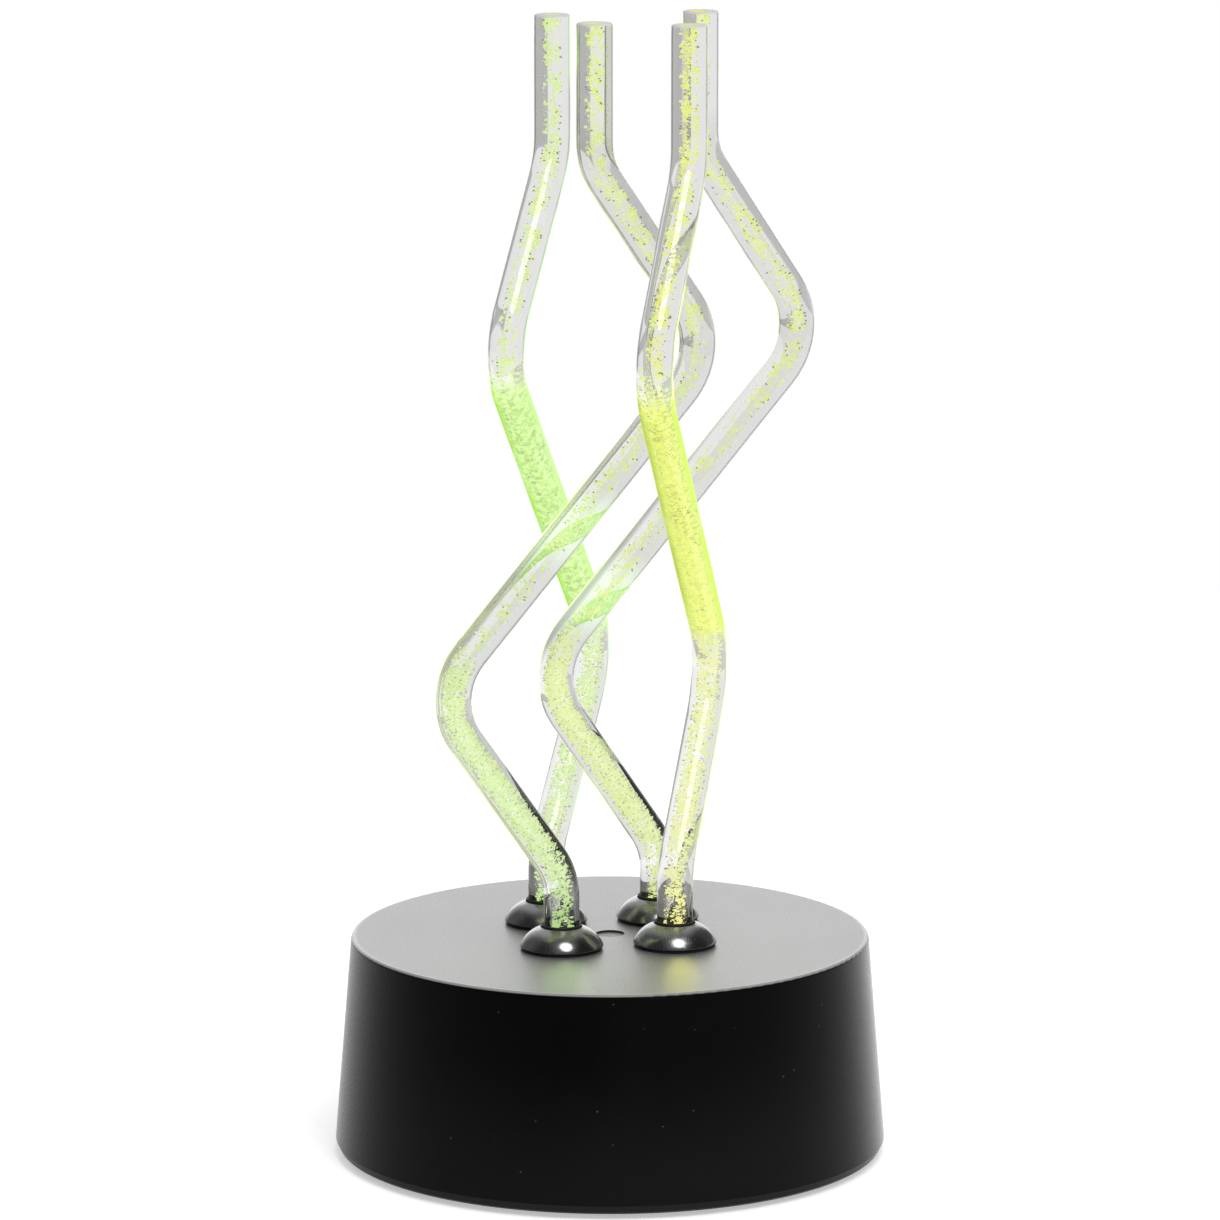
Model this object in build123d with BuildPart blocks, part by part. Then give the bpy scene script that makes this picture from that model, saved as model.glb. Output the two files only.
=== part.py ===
from build123d import *
import os
from math import cos, hypot, pi, radians, sin, sqrt, tan

os.makedirs("parts", exist_ok=True)

# Table lamp: a round moulded base carries four bent clear rods, each lit from below by an LED.
# The lamp stands on z = 0, centred on the Z axis. Its front faces -Y, the switch is at the back.
# Every size is in millimetres.

# Fits shared by all pieces
cut_overrun = 1.0
slip_clearance = 0.1
running_clearance = 0.05
moving_clearance = 0.35
thread_clearance = 0.05

# Base shell
base_bottom_diameter = 150.0
base_top_diameter = 140.8
shell_height = 56.1
shell_wall = 2.5
shell_top_thickness = 3.0
shell_edge_radius = 1.0
shell_inner_radius = 1.5
gate_mark_diameter = 8.0
gate_mark_depth = 0.5

# Bottom cover
cover_edge_inset = 0.9
cover_thickness = 2.4
cover_edge_chamfer = 0.5
cover_lip_height = 3.0
cover_lip_thickness = 1.8
cover_lip_clearance = 0.25

# Rubber feet
foot_diameter = 12.0
foot_proud = 1.5
foot_recess = 1.0
foot_edge_radius = 0.5
foot_inset = 12.0
foot_count = 4

# Screws that hold the cover
cover_screw_count = 4
cover_screw_start_angle = 45.0
cover_screw_inset = 11.5
cover_screw_diameter = 2.9
cover_screw_grip = 8.0
cover_screw_head_diameter = 5.5
cover_screw_head_height = 2.0
cover_screw_head_recess = 1.0
cover_screw_web = 2.0
cover_well_wall = 1.9
cover_boss_diameter = 8.0
cover_boss_rib = 1.8

# Rods
rod_diameter = 9.7
rod_spacing = 30.9
rod_bend_radius = 19.5
rod_end_chamfer = 0.4
rise_to_first_bend = 20.5
rise_to_second_bend = 51.4
rise_to_third_bend = 90.3
rise_to_fourth_bend = 50.7
rise_to_top = 37.6
second_bend_reach = 36.5
third_bend_reach = 43.2
top_reach = 8.2
rod_drift = 9.2

# Each rod: its corner of the square, as shares of rod_spacing from the middle, the heading of its
# zigzag in degrees, and how much of rod_drift its upper end has moved out of the zigzag's plane.
rods = {
    "front_left": {"corner_shares": (-0.5, -0.5), "heading": 13.0, "drift_share": -0.40},
    "front_right": {"corner_shares": (0.5, -0.5), "heading": -113.5, "drift_share": 0.62},
    "rear_left": {"corner_shares": (-0.5, 0.5), "heading": -119.5, "drift_share": 0.59},
    "rear_right": {"corner_shares": (0.5, 0.5), "heading": 14.9, "drift_share": -1.00},
}

# Bezels, with their seals, washers and nuts
dome_diameter = 22.6
dome_height = 5.5
dome_lip_height = 0.5
dome_bulge = 0.75
dome_mouth_wall = 0.4
seal_wall = 0.5
seal_seat_depth = 1.6
seal_proud = 0.7
washer_thickness = 0.7
washer_inset = 0.4
spigot_wall = 2.0
spigot_floor = 3.0
nut_across_flats = 19.0
nut_thickness = 3.5

# LEDs
led_diameter = 5.0
led_height = 8.6
led_flange_diameter = 5.8
led_flange_height = 1.0
led_tip_gap = 0.3
led_hole_clearance = 0.2
led_leg_pitch = 2.54
led_leg_width = 0.5
led_leg_length = 3.0

# Driver board and its components
board_margin = 12.0
board_bay_gap = 9.9
board_thickness = 1.6
board_hole_clearance = 0.2
board_post_count = 4
board_post_diameter = 6.4
board_post_edge = 6.0
board_screw_diameter = 2.3
board_screw_grip = 6.0
board_screw_head_diameter = 4.6
board_screw_head_height = 1.8
chip_length = 4.9
chip_width = 3.9
chip_height = 1.5
chip_chamfer = 0.3
chip_leg_pitch = 1.27
chip_leg_width = 0.42
chip_leg_length = 1.0
chip_leg_height = 0.6
chip_legs_per_side = 4
resistor_length = 3.2
resistor_width = 1.6
resistor_height = 0.6
resistor_ring_radius = 11.0
resistor_count = 4
capacitor_diameter = 6.3
capacitor_height = 7.0
capacitor_edge_radius = 0.6
capacitor_crimp_depth = 0.3
capacitor_crimp_height = 1.6
capacitor_edge = 4.6
capacitor_bearing = 20.0

# Rocker switch on the back
switch_height_share = 0.5
switch_panel_thickness = 2.0
switch_pocket_depth = 0.8
switch_pocket_margin = 1.5
switch_pocket_corner = 2.0
switch_pad_margin = 1.5
switch_flange_thickness = 1.6
switch_flange_margin = 1.2
switch_flange_corner = 1.0
switch_wall = 1.0
switch_back_wall = 1.5
rocker_length = 10.6
rocker_width = 6.6
rocker_valley = 2.2
rocker_proud = 0.4
rocker_tilt = 11.0
rocker_clearance = 0.3
rocker_tip_radius = 0.5
trunnion_diameter = 2.2
trunnion_end_gap = 0.1
terminal_thickness = 0.8
terminal_width = 3.2
terminal_length = 6.0
terminal_spread = 3.6

# AA cells
cell_length = 50.5
cell_diameter = 14.5
cell_nub_diameter = 5.5
cell_nub_height = 1.5
cell_edge_radius = 0.6
cell_spacing = 0.8

# Battery bay, moulded on the cover
bay_wall = 1.6
bay_front_gap = 1.8
bay_rear_gap = 0.6
bay_door_gap = 0.4
bay_roof_gap = 0.6
bay_partition = 1.4
bay_latch_room = 7.0
saddle_thickness = 1.6
saddle_gap = 0.3
saddle_place_share = 0.55

# Battery contacts, formed from strip
contact_thickness = 0.4
contact_button_diameter = 4.0
contact_button_height = 0.6
contact_leaf_depth = 4.0
contact_leaf_width = 7.0
contact_leaf_pad = 3.0
contact_leaf_bend = 0.5
contact_backing_width = 9.0
contact_backing_reach = 5.5
contact_tab_width = 4.0
contact_tab_height = 4.0
contact_slot_clearance = 0.2

# Battery door
door_thickness = 2.0
door_corner_radius = 1.5
hook_spacing = 32.0
hook_width = 7.0
hook_thickness = 1.2
hook_bite = 1.6
hook_stem = 1.4
hook_window_margin = 0.5
latch_width = 12.0
latch_thickness = 1.2
latch_bend_radius = 1.7
latch_height = 6.5
latch_inset = 1.0
latch_slot = 0.8

# Wires
lead_diameter = 1.4
lead_exit = 6.2
lead_loop_height = 6.9
lead_pad_edge = 4.2
lead_bend_share = 0.45
lead_rise_share = 0.5
positive_lead_bearings = (30.0, 46.0, 66.0)
positive_lead_rise_shares = (0.20, 0.55, 0.90)
switched_lead_bearing = 107.0
negative_lead_bearing = 199.0

# Heights that follow from the sizes above
cover_bottom_z = foot_proud
seam_z = cover_bottom_z + cover_thickness
shell_top_z = seam_z + shell_height
ceiling_z = shell_top_z - shell_top_thickness
top_middle_z = shell_top_z - shell_top_thickness / 2
well_top_z = cover_bottom_z + cover_screw_head_recess + cover_screw_head_height + cover_screw_web
rib_bottom_z = max(well_top_z, seam_z + cover_lip_height) + moving_clearance
door_top_z = cover_bottom_z + door_thickness
cell_axis_z = door_top_z + bay_door_gap + cell_diameter / 2
bay_roof_z = cell_axis_z + cell_diameter / 2 + bay_roof_gap
bay_top_z = bay_roof_z + bay_wall
board_bottom_z = bay_top_z + board_bay_gap
board_top_z = board_bottom_z + board_thickness
rod_foot_z = board_top_z + led_height + led_tip_gap
spigot_bottom_z = rod_foot_z - spigot_floor


def outer_radius(z):
    """Radius of the tapered outside of the shell at height z."""
    rise_share = (z - seam_z) / shell_height
    return (base_bottom_diameter + (base_top_diameter - base_bottom_diameter) * rise_share) / 2


def narrowest_radius(low_z, high_z):
    """Smallest radius of the outside of the shell between two heights, whichever way it tapers."""
    return min(outer_radius(low_z), outer_radius(high_z))


# Radii and places that follow from the sizes above
rod_radius = rod_diameter / 2
rod_bore_radius = rod_radius + slip_clearance
seal_outer_radius = rod_bore_radius + seal_wall
spigot_radius = rod_bore_radius + spigot_wall
cover_radius = base_bottom_diameter / 2 - cover_edge_inset
foot_circle_radius = cover_radius - foot_inset
cover_screw_circle_radius = narrowest_radius(seam_z, ceiling_z) - cover_screw_inset
board_radius = hypot(rod_spacing / 2, rod_spacing / 2) + board_margin
board_post_circle_radius = board_radius - board_post_edge


def rod_foot(rod):
    """Place of a rod's axis on the base."""
    across_share, along_share = rod["corner_shares"]
    return (across_share * rod_spacing, along_share * rod_spacing)


def rear_plane(y):
    """Upright plane that faces the back of the lamp, seen with +Z up."""
    return Plane(origin=(0, y, 0), x_dir=(-1, 0, 0), z_dir=(0, 1, 0))


def turning_plane(x, y):
    """Upright plane through the axis of a turned piece that stands at (x, y)."""
    return Plane(origin=(x, y, 0), x_dir=(1, 0, 0), z_dir=(0, -1, 0))


def finish_piece(piece, name):
    """Label a finished piece and write it as one STEP file."""
    piece.label = name
    export_step(piece, f"parts/{name}.step")


# Sizes of the switch, needed by the shell that holds it
rocker_tip = rocker_valley + rocker_length / 2 * tan(radians(rocker_tilt))
rocker_sweep = hypot(rocker_length / 2, rocker_tip)
switch_well_height = 2 * (rocker_sweep + rocker_clearance)
switch_well_width = rocker_width + 2 * rocker_clearance
switch_body_height = switch_well_height + 2 * switch_wall
switch_body_width = switch_well_width + 2 * switch_wall
switch_flange_height = switch_body_height + 2 * switch_flange_margin
switch_flange_width = switch_body_width + 2 * switch_flange_margin
switch_pocket_height = switch_flange_height + 2 * switch_pocket_margin
switch_pocket_width = switch_flange_width + 2 * switch_pocket_margin
switch_z = seam_z + shell_height * switch_height_share
switch_bottom_z = switch_z - switch_pocket_height / 2
switch_top_z = switch_z + switch_pocket_height / 2
switch_shell_radius = narrowest_radius(switch_bottom_z, switch_top_z)
switch_panel_y = sqrt(switch_shell_radius**2 - (switch_pocket_width / 2) ** 2) - switch_pocket_depth

# Base shell: a turned cup with four bezel holes, posts for the board, bosses for the cover's screws
# and a flat panel for the switch
with BuildPart() as base_shell:
    with BuildSketch(Plane.XZ) as shell_profile:
        with BuildLine():
            Polyline(
                (0, seam_z),
                (base_bottom_diameter / 2, seam_z),
                (base_top_diameter / 2, shell_top_z),
                (0, shell_top_z),
                close=True,
            )
        make_face()
        rim = shell_profile.vertices().sort_by_distance((base_top_diameter / 2, shell_top_z))[0]
        fillet(rim, radius=shell_edge_radius)
    revolve(axis=Axis.Z)

    with BuildPart(mode=Mode.PRIVATE) as cavity:
        root = (outer_radius(ceiling_z) - shell_wall, ceiling_z)
        with BuildSketch(Plane.XZ) as cavity_profile:
            with BuildLine():
                Polyline(
                    (0, seam_z),
                    (base_bottom_diameter / 2 - shell_wall, seam_z),
                    root,
                    (0, ceiling_z),
                    close=True,
                )
            make_face()
            fillet(cavity_profile.vertices().sort_by_distance(root)[0], radius=shell_inner_radius)
        revolve(axis=Axis.Z)
        with BuildSketch(rear_plane(switch_panel_y - switch_panel_thickness)):
            with Locations((0, switch_z)):
                Rectangle(
                    switch_pocket_width + 2 * switch_pad_margin,
                    switch_pocket_height + 2 * switch_pad_margin,
                )
        extrude(amount=base_bottom_diameter + base_top_diameter, mode=Mode.SUBTRACT)
    add(cavity.part, mode=Mode.SUBTRACT)

    with BuildSketch(Plane.XY.offset(board_top_z)):
        with PolarLocations(board_post_circle_radius, board_post_count):
            Circle(board_post_diameter / 2)
    extrude(amount=top_middle_z - board_top_z)
    with BuildSketch(Plane.XY.offset(board_top_z)):
        with PolarLocations(board_post_circle_radius, board_post_count):
            Circle(board_screw_diameter / 2 + thread_clearance)
    extrude(amount=board_screw_grip + cut_overrun, mode=Mode.SUBTRACT)

    for step in range(cover_screw_count):
        bearing = cover_screw_start_angle + 360 * step / cover_screw_count
        radial = Plane.XZ.rotated((0, 0, bearing))
        with BuildSketch(radial):
            with BuildLine():
                Polyline(
                    (cover_screw_circle_radius, rib_bottom_z),
                    (outer_radius(rib_bottom_z) - shell_wall / 2, rib_bottom_z),
                    (outer_radius(top_middle_z) - shell_wall / 2, top_middle_z),
                    (cover_screw_circle_radius, top_middle_z),
                    close=True,
                )
            make_face()
        extrude(amount=cover_boss_rib / 2, both=True)
    with BuildSketch(Plane.XY.offset(well_top_z)):
        with PolarLocations(cover_screw_circle_radius, cover_screw_count, cover_screw_start_angle):
            Circle(cover_boss_diameter / 2)
    extrude(amount=top_middle_z - well_top_z)
    with BuildSketch(Plane.XY.offset(well_top_z)):
        with PolarLocations(cover_screw_circle_radius, cover_screw_count, cover_screw_start_angle):
            Circle(cover_screw_diameter / 2 + thread_clearance)
    extrude(amount=cover_screw_grip + cut_overrun, mode=Mode.SUBTRACT)

    with BuildSketch(rear_plane(switch_panel_y)):
        with Locations((0, switch_z)):
            RectangleRounded(switch_pocket_width, switch_pocket_height, switch_pocket_corner)
    extrude(amount=base_bottom_diameter + base_top_diameter, mode=Mode.SUBTRACT)
    with BuildSketch(rear_plane(switch_panel_y)):
        with Locations((0, switch_z)):
            Rectangle(switch_body_width + 2 * slip_clearance, switch_body_height + 2 * slip_clearance)
    extrude(amount=-switch_panel_thickness - cut_overrun, mode=Mode.SUBTRACT)

    with BuildSketch(Plane.XY.offset(shell_top_z)):
        with GridLocations(rod_spacing, rod_spacing, 2, 2):
            Circle(spigot_radius + slip_clearance)
    extrude(amount=-shell_top_thickness - cut_overrun, mode=Mode.SUBTRACT)
    with BuildSketch(Plane.XY.offset(shell_top_z)):
        Circle(gate_mark_diameter / 2)
    extrude(amount=-gate_mark_depth, mode=Mode.SUBTRACT)
finish_piece(base_shell.part, "base_shell")

# Battery bay in plan: three cells lie along X, side by side, with a pocket for the door's tongue behind
cell_pitch = cell_diameter + cell_spacing
contact_button_depth = contact_thickness + contact_button_height
bay_half_length = (cell_length + contact_button_depth + contact_leaf_depth) / 2
bay_front_y = -(cell_pitch + cell_diameter / 2 + bay_front_gap)
partition_y = cell_pitch + cell_diameter / 2 + bay_rear_gap
bay_rear_y = partition_y + bay_partition + bay_latch_room
bay_depth = bay_rear_y - bay_front_y
bay_middle_y = (bay_front_y + bay_rear_y) / 2

# Door's hinge line: the middle of its rounded front edge
door_edge_radius = door_thickness / 2
hinge_y = bay_front_y + moving_clearance + door_edge_radius
hinge_z = cover_bottom_z + door_edge_radius
hook_bottom_z = seam_z + moving_clearance
hook_top_z = hook_bottom_z + hook_thickness
hook_reach = hinge_y - bay_front_y + hook_bite
hook_sweep = hypot(hook_reach, hook_top_z - hinge_z)

# Each cell: its row, the end that its nub points to and its name
cells = {
    "front": {"row": -1, "nub_end": 1},
    "middle": {"row": 0, "nub_end": -1},
    "rear": {"row": 1, "nub_end": 1},
}

# Bottom cover: a plate with a locating lip, screw wells, foot recesses and the battery bay
with BuildPart() as base_cover:
    with BuildSketch(Plane.XY.offset(cover_bottom_z)):
        Circle(cover_radius)
    extrude(amount=cover_thickness)
    rim = base_cover.faces().sort_by(Axis.Z)[0].edges()
    chamfer(rim, length=cover_edge_chamfer)

    lip_shell_radius = narrowest_radius(seam_z, seam_z + cover_lip_height)
    lip_radius = lip_shell_radius - shell_wall - cover_lip_clearance
    with BuildSketch(Plane.XY.offset(seam_z)):
        Circle(lip_radius)
        Circle(lip_radius - cover_lip_thickness, mode=Mode.SUBTRACT)
    extrude(amount=cover_lip_height)

    well_radius = cover_screw_head_diameter / 2 + moving_clearance + cover_well_wall
    with BuildSketch(Plane.XY.offset(cover_bottom_z)):
        with PolarLocations(cover_screw_circle_radius, cover_screw_count, cover_screw_start_angle):
            Circle(well_radius)
    extrude(amount=well_top_z - cover_bottom_z)
    with Locations(Plane.XY.offset(cover_bottom_z).rotated((180, 0, 0))):
        with PolarLocations(cover_screw_circle_radius, cover_screw_count, cover_screw_start_angle):
            CounterBoreHole(
                radius=cover_screw_diameter / 2 + slip_clearance,
                counter_bore_radius=cover_screw_head_diameter / 2 + moving_clearance,
                counter_bore_depth=cover_screw_head_recess + cover_screw_head_height,
                depth=well_top_z - cover_bottom_z,
            )

    with BuildSketch(Plane.XY.offset(cover_bottom_z)):
        with PolarLocations(foot_circle_radius, foot_count):
            Circle(foot_diameter / 2 + slip_clearance)
    extrude(amount=foot_recess, mode=Mode.SUBTRACT)

    with BuildSketch(Plane.XY.offset(cover_bottom_z)):
        with Locations((0, bay_middle_y)):
            Rectangle(2 * (bay_half_length + bay_wall), bay_depth + 2 * bay_wall)
    extrude(amount=bay_top_z - cover_bottom_z)
    with BuildSketch(Plane.XY.offset(cover_bottom_z)):
        with Locations((0, bay_middle_y)):
            Rectangle(2 * bay_half_length, bay_depth)
    extrude(amount=bay_roof_z - cover_bottom_z, mode=Mode.SUBTRACT)

    with BuildSketch(Plane.XY.offset(door_top_z + bay_door_gap)):
        with Locations((0, partition_y + bay_partition / 2)):
            Rectangle(2 * bay_half_length, bay_partition)
    extrude(amount=bay_roof_z - door_top_z - bay_door_gap)

    with BuildSketch(Plane.XY.offset(cell_axis_z)):
        with GridLocations(2 * saddle_place_share * bay_half_length, 0, 2, 1):
            with Locations((0, (bay_front_y + partition_y) / 2)):
                Rectangle(saddle_thickness, partition_y - bay_front_y)
    extrude(amount=bay_roof_z - cell_axis_z)
    with BuildSketch(Plane.YZ.offset(-bay_half_length)):
        with Locations((0, cell_axis_z)):
            with GridLocations(cell_pitch, 0, len(cells), 1):
                Circle(cell_diameter / 2 + saddle_gap)
    extrude(amount=2 * bay_half_length, mode=Mode.SUBTRACT)

    with BuildSketch(Plane.XZ.offset(-bay_front_y)):
        with GridLocations(hook_spacing, 0, 2, 1):
            with Locations((0, (seam_z + hinge_z + hook_sweep + hook_window_margin) / 2)):
                Rectangle(
                    hook_width + 2 * hook_window_margin,
                    hinge_z + hook_sweep + hook_window_margin - seam_z,
                )
    extrude(amount=bay_wall + cut_overrun, mode=Mode.SUBTRACT)

    with BuildSketch(Plane.XY.offset(bay_roof_z)):
        for end, row in ((1, 1), (-1, -1)):
            with Locations((end * (bay_half_length - contact_thickness / 2), row * cell_pitch)):
                Rectangle(
                    contact_thickness + 2 * contact_slot_clearance,
                    contact_tab_width + 2 * contact_slot_clearance,
                )
    extrude(amount=bay_wall, mode=Mode.SUBTRACT)
finish_piece(base_cover.part, "base_cover")

# Battery door: a plate with a rounded hinge edge, two hooks on it and a bent spring tongue opposite
door_half_width = bay_half_length - moving_clearance
door_rear_y = bay_rear_y - moving_clearance
tongue_y = door_rear_y - latch_inset - latch_thickness / 2
tongue_root_y = tongue_y - 2 * latch_bend_radius
with BuildPart() as battery_door:
    with BuildSketch(Plane.YZ):
        with BuildLine():
            Line((hinge_y, cover_bottom_z), (door_rear_y, cover_bottom_z))
            Line((door_rear_y, cover_bottom_z), (door_rear_y, door_top_z))
            Line((door_rear_y, door_top_z), (hinge_y, door_top_z))
            ThreePointArc(
                (hinge_y, door_top_z),
                (hinge_y - door_edge_radius, hinge_z),
                (hinge_y, cover_bottom_z),
            )
        make_face()
    extrude(amount=door_half_width, both=True)
    corners = battery_door.edges().filter_by(Axis.Z).group_by(Axis.Y)[-1]
    fillet(corners, radius=door_corner_radius)

    notch_depth = door_rear_y - (tongue_y - latch_thickness / 2 - latch_slot)
    with BuildSketch(Plane.XY.offset(cover_bottom_z)):
        with Locations((0, door_rear_y - notch_depth / 2)):
            Rectangle(latch_width + 2 * latch_slot, notch_depth)
    extrude(amount=door_thickness, mode=Mode.SUBTRACT)
    with BuildSketch(Plane.YZ):
        with BuildLine():
            Line((tongue_root_y, door_top_z), (tongue_root_y, door_top_z + latch_height))
            ThreePointArc(
                (tongue_root_y, door_top_z + latch_height),
                (tongue_root_y + latch_bend_radius, door_top_z + latch_height + latch_bend_radius),
                (tongue_y, door_top_z + latch_height),
            )
            Line((tongue_y, door_top_z + latch_height), (tongue_y, cover_bottom_z))
        trace(line_width=latch_thickness)
    extrude(amount=latch_width / 2, both=True)

    for side in (-1, 1):
        with BuildSketch(Plane.YZ.offset(side * hook_spacing / 2)):
            with BuildLine():
                Polyline(
                    (hinge_y - hook_stem / 2, hinge_z),
                    (hinge_y + hook_stem / 2, hinge_z),
                    (hinge_y + hook_stem / 2, hook_top_z),
                    (hinge_y - hook_reach, hook_top_z),
                    (hinge_y - hook_reach, hook_bottom_z),
                    (hinge_y - hook_stem / 2, hook_bottom_z),
                    close=True,
                )
            make_face()
        extrude(amount=hook_width / 2, both=True)
finish_piece(battery_door.part, "battery_door")

# Cells: a can with rounded edges and a nub on its positive end
for name, cell in cells.items():
    nub_x = cell["nub_end"] * (bay_half_length - contact_button_depth)
    back_x = nub_x - cell["nub_end"] * cell_length
    with BuildPart() as battery_cell:
        axis_plane = Plane(
            origin=(back_x, cell["row"] * cell_pitch, cell_axis_z),
            z_dir=(cell["nub_end"], 0, 0),
        )
        with BuildSketch(axis_plane):
            Circle(cell_diameter / 2)
        extrude(amount=cell_length - cell_nub_height)
        fillet(battery_cell.edges().filter_by(GeomType.CIRCLE), radius=cell_edge_radius)
        with BuildSketch(axis_plane.offset(cell_length - cell_nub_height)):
            Circle(cell_nub_diameter / 2)
        extrude(amount=cell_nub_height)
    finish_piece(battery_cell.part, f"battery_cell_{name}")


# Contacts are added to the piece that is being built: a backing strip on the bay's end wall,
# a pressed button for a nub, and a bent leaf for the flat end of a cell.
def add_backing(end, low_y, high_y):
    with BuildSketch(Plane.YZ.offset(end * bay_half_length)) as backing:
        with Locations(((low_y + high_y) / 2, cell_axis_z)):
            Rectangle(high_y - low_y, 2 * contact_backing_reach)
    extrude(backing.sketch, amount=-end * contact_thickness)


def add_button(end, y):
    with BuildSketch(Plane.YZ.offset(end * (bay_half_length - contact_thickness))) as button:
        with Locations((y, cell_axis_z)):
            Circle(contact_button_diameter / 2)
    extrude(button.sketch, amount=-end * contact_button_height)


def add_leaf(end, y):
    wall_x = end * (bay_half_length - contact_thickness / 2)
    pad_x = end * (bay_half_length - contact_leaf_depth + contact_thickness / 2)
    low_z = cell_axis_z - contact_backing_reach + contact_thickness / 2
    with BuildSketch(Plane.XZ.offset(-y)) as leaf:
        with BuildLine():
            FilletPolyline(
                (wall_x, cell_axis_z),
                (wall_x, low_z),
                (pad_x, cell_axis_z - contact_leaf_pad / 2),
                (pad_x, cell_axis_z + contact_leaf_pad / 2),
                ((wall_x + pad_x) / 2, cell_axis_z + contact_leaf_pad),
                radius=contact_leaf_bend,
            )
        trace(line_width=contact_thickness)
    extrude(leaf.sketch, amount=contact_leaf_width / 2, both=True)


def add_tab(end, y):
    with BuildSketch(Plane.YZ.offset(end * bay_half_length)) as tab:
        with Locations((y, (cell_axis_z + bay_top_z + contact_tab_height) / 2)):
            Rectangle(contact_tab_width, bay_top_z + contact_tab_height - cell_axis_z)
    extrude(tab.sketch, amount=-end * contact_thickness)


with BuildPart() as battery_contact_positive:
    add_backing(1, cell_pitch - contact_backing_width / 2, cell_pitch + contact_backing_width / 2)
    add_button(1, cell_pitch)
    add_tab(1, cell_pitch)
finish_piece(battery_contact_positive.part, "battery_contact_positive")

with BuildPart() as battery_contact_negative:
    add_backing(-1, -cell_pitch - contact_backing_width / 2, -cell_pitch + contact_backing_width / 2)
    add_leaf(-1, -cell_pitch)
    add_tab(-1, -cell_pitch)
finish_piece(battery_contact_negative.part, "battery_contact_negative")

with BuildPart() as battery_bridges:
    add_backing(1, -cell_pitch - contact_backing_width / 2, contact_backing_width / 2)
    add_button(1, -cell_pitch)
    add_leaf(1, 0)
    add_backing(-1, -contact_backing_width / 2, cell_pitch + contact_backing_width / 2)
    add_button(-1, 0)
    add_leaf(-1, cell_pitch)
finish_piece(battery_bridges.part, "battery_bridges")

# Cover screws: pan heads in the wells, shanks up into the shell's bosses
cover_screw_seat_z = cover_bottom_z + cover_screw_head_recess + cover_screw_head_height
with BuildPart() as cover_screws:
    with BuildSketch(Plane.XY.offset(cover_screw_seat_z)):
        with PolarLocations(cover_screw_circle_radius, cover_screw_count, cover_screw_start_angle):
            Circle(cover_screw_head_diameter / 2)
    extrude(amount=-cover_screw_head_height)
    with BuildSketch(Plane.XY.offset(cover_screw_seat_z)):
        with PolarLocations(cover_screw_circle_radius, cover_screw_count, cover_screw_start_angle):
            Circle(cover_screw_diameter / 2)
    extrude(amount=well_top_z - cover_screw_seat_z + cover_screw_grip)
finish_piece(cover_screws.part, "cover_screws")

# Rubber feet, bonded in their recesses
with BuildPart() as rubber_feet:
    with BuildSketch():
        with PolarLocations(foot_circle_radius, foot_count):
            Circle(foot_diameter / 2)
    extrude(amount=foot_proud + foot_recess)
    fillet(rubber_feet.edges().group_by(Axis.Z)[0], radius=foot_edge_radius)
finish_piece(rubber_feet.part, "rubber_feet")

# Bezels: a turned dome with a spigot below, bored for the rod, with a floor that the rod stands on
dome_radius = dome_diameter / 2
dome_bottom_z = shell_top_z + washer_thickness
dome_top_z = dome_bottom_z + dome_height
mouth_radius = seal_outer_radius + running_clearance
led_hole_radius = led_diameter / 2 + led_hole_clearance
for name, rod in rods.items():
    foot_x, foot_y = rod_foot(rod)
    with BuildPart() as bezel:
        with BuildSketch(turning_plane(foot_x, foot_y)):
            with BuildLine():
                Line((dome_radius, dome_bottom_z), (dome_radius, dome_bottom_z + dome_lip_height))
                SagittaArc(
                    (dome_radius, dome_bottom_z + dome_lip_height),
                    (mouth_radius + dome_mouth_wall, dome_top_z),
                    -dome_bulge,
                )
                Polyline(
                    (mouth_radius + dome_mouth_wall, dome_top_z),
                    (mouth_radius, dome_top_z),
                    (mouth_radius, dome_top_z - seal_seat_depth),
                    (rod_bore_radius, dome_top_z - seal_seat_depth),
                    (rod_bore_radius, rod_foot_z),
                    (led_hole_radius, rod_foot_z),
                    (led_hole_radius, spigot_bottom_z),
                    (spigot_radius, spigot_bottom_z),
                    (spigot_radius, dome_bottom_z),
                    (dome_radius, dome_bottom_z),
                )
            make_face()
        revolve(axis=Axis((foot_x, foot_y, 0), (0, 0, 1)))
    finish_piece(bezel.part, f"bezel_{name}")

# Rod seals: a soft collar in the mouth of each bezel
for name, rod in rods.items():
    foot_x, foot_y = rod_foot(rod)
    with BuildPart() as rod_seal:
        with BuildSketch(Plane.XY.offset(dome_top_z - seal_seat_depth)):
            with Locations((foot_x, foot_y)):
                Circle(seal_outer_radius)
                Circle(rod_radius + running_clearance, mode=Mode.SUBTRACT)
        extrude(amount=seal_seat_depth + seal_proud)
        top_edges = rod_seal.faces().sort_by(Axis.Z)[-1].edges()
        fillet(top_edges.sort_by(SortBy.LENGTH)[-1], radius=seal_wall / 2)
    finish_piece(rod_seal.part, f"rod_seal_{name}")

# Washers between the domes and the top of the base
with BuildPart() as bezel_washers:
    with BuildSketch(Plane.XY.offset(shell_top_z)):
        with GridLocations(rod_spacing, rod_spacing, 2, 2):
            Circle(dome_radius - washer_inset)
            Circle(spigot_radius + slip_clearance, mode=Mode.SUBTRACT)
    extrude(amount=washer_thickness)
finish_piece(bezel_washers.part, "bezel_washers")

# Nuts on the spigots, against the underside of the top
with BuildPart() as bezel_nuts:
    with BuildSketch(Plane.XY.offset(ceiling_z)):
        with GridLocations(rod_spacing, rod_spacing, 2, 2):
            RegularPolygon(nut_across_flats / 2, side_count=6, major_radius=False)
            Circle(spigot_radius + thread_clearance, mode=Mode.SUBTRACT)
    extrude(amount=-nut_thickness)
finish_piece(bezel_nuts.part, "bezel_nuts")

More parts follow.
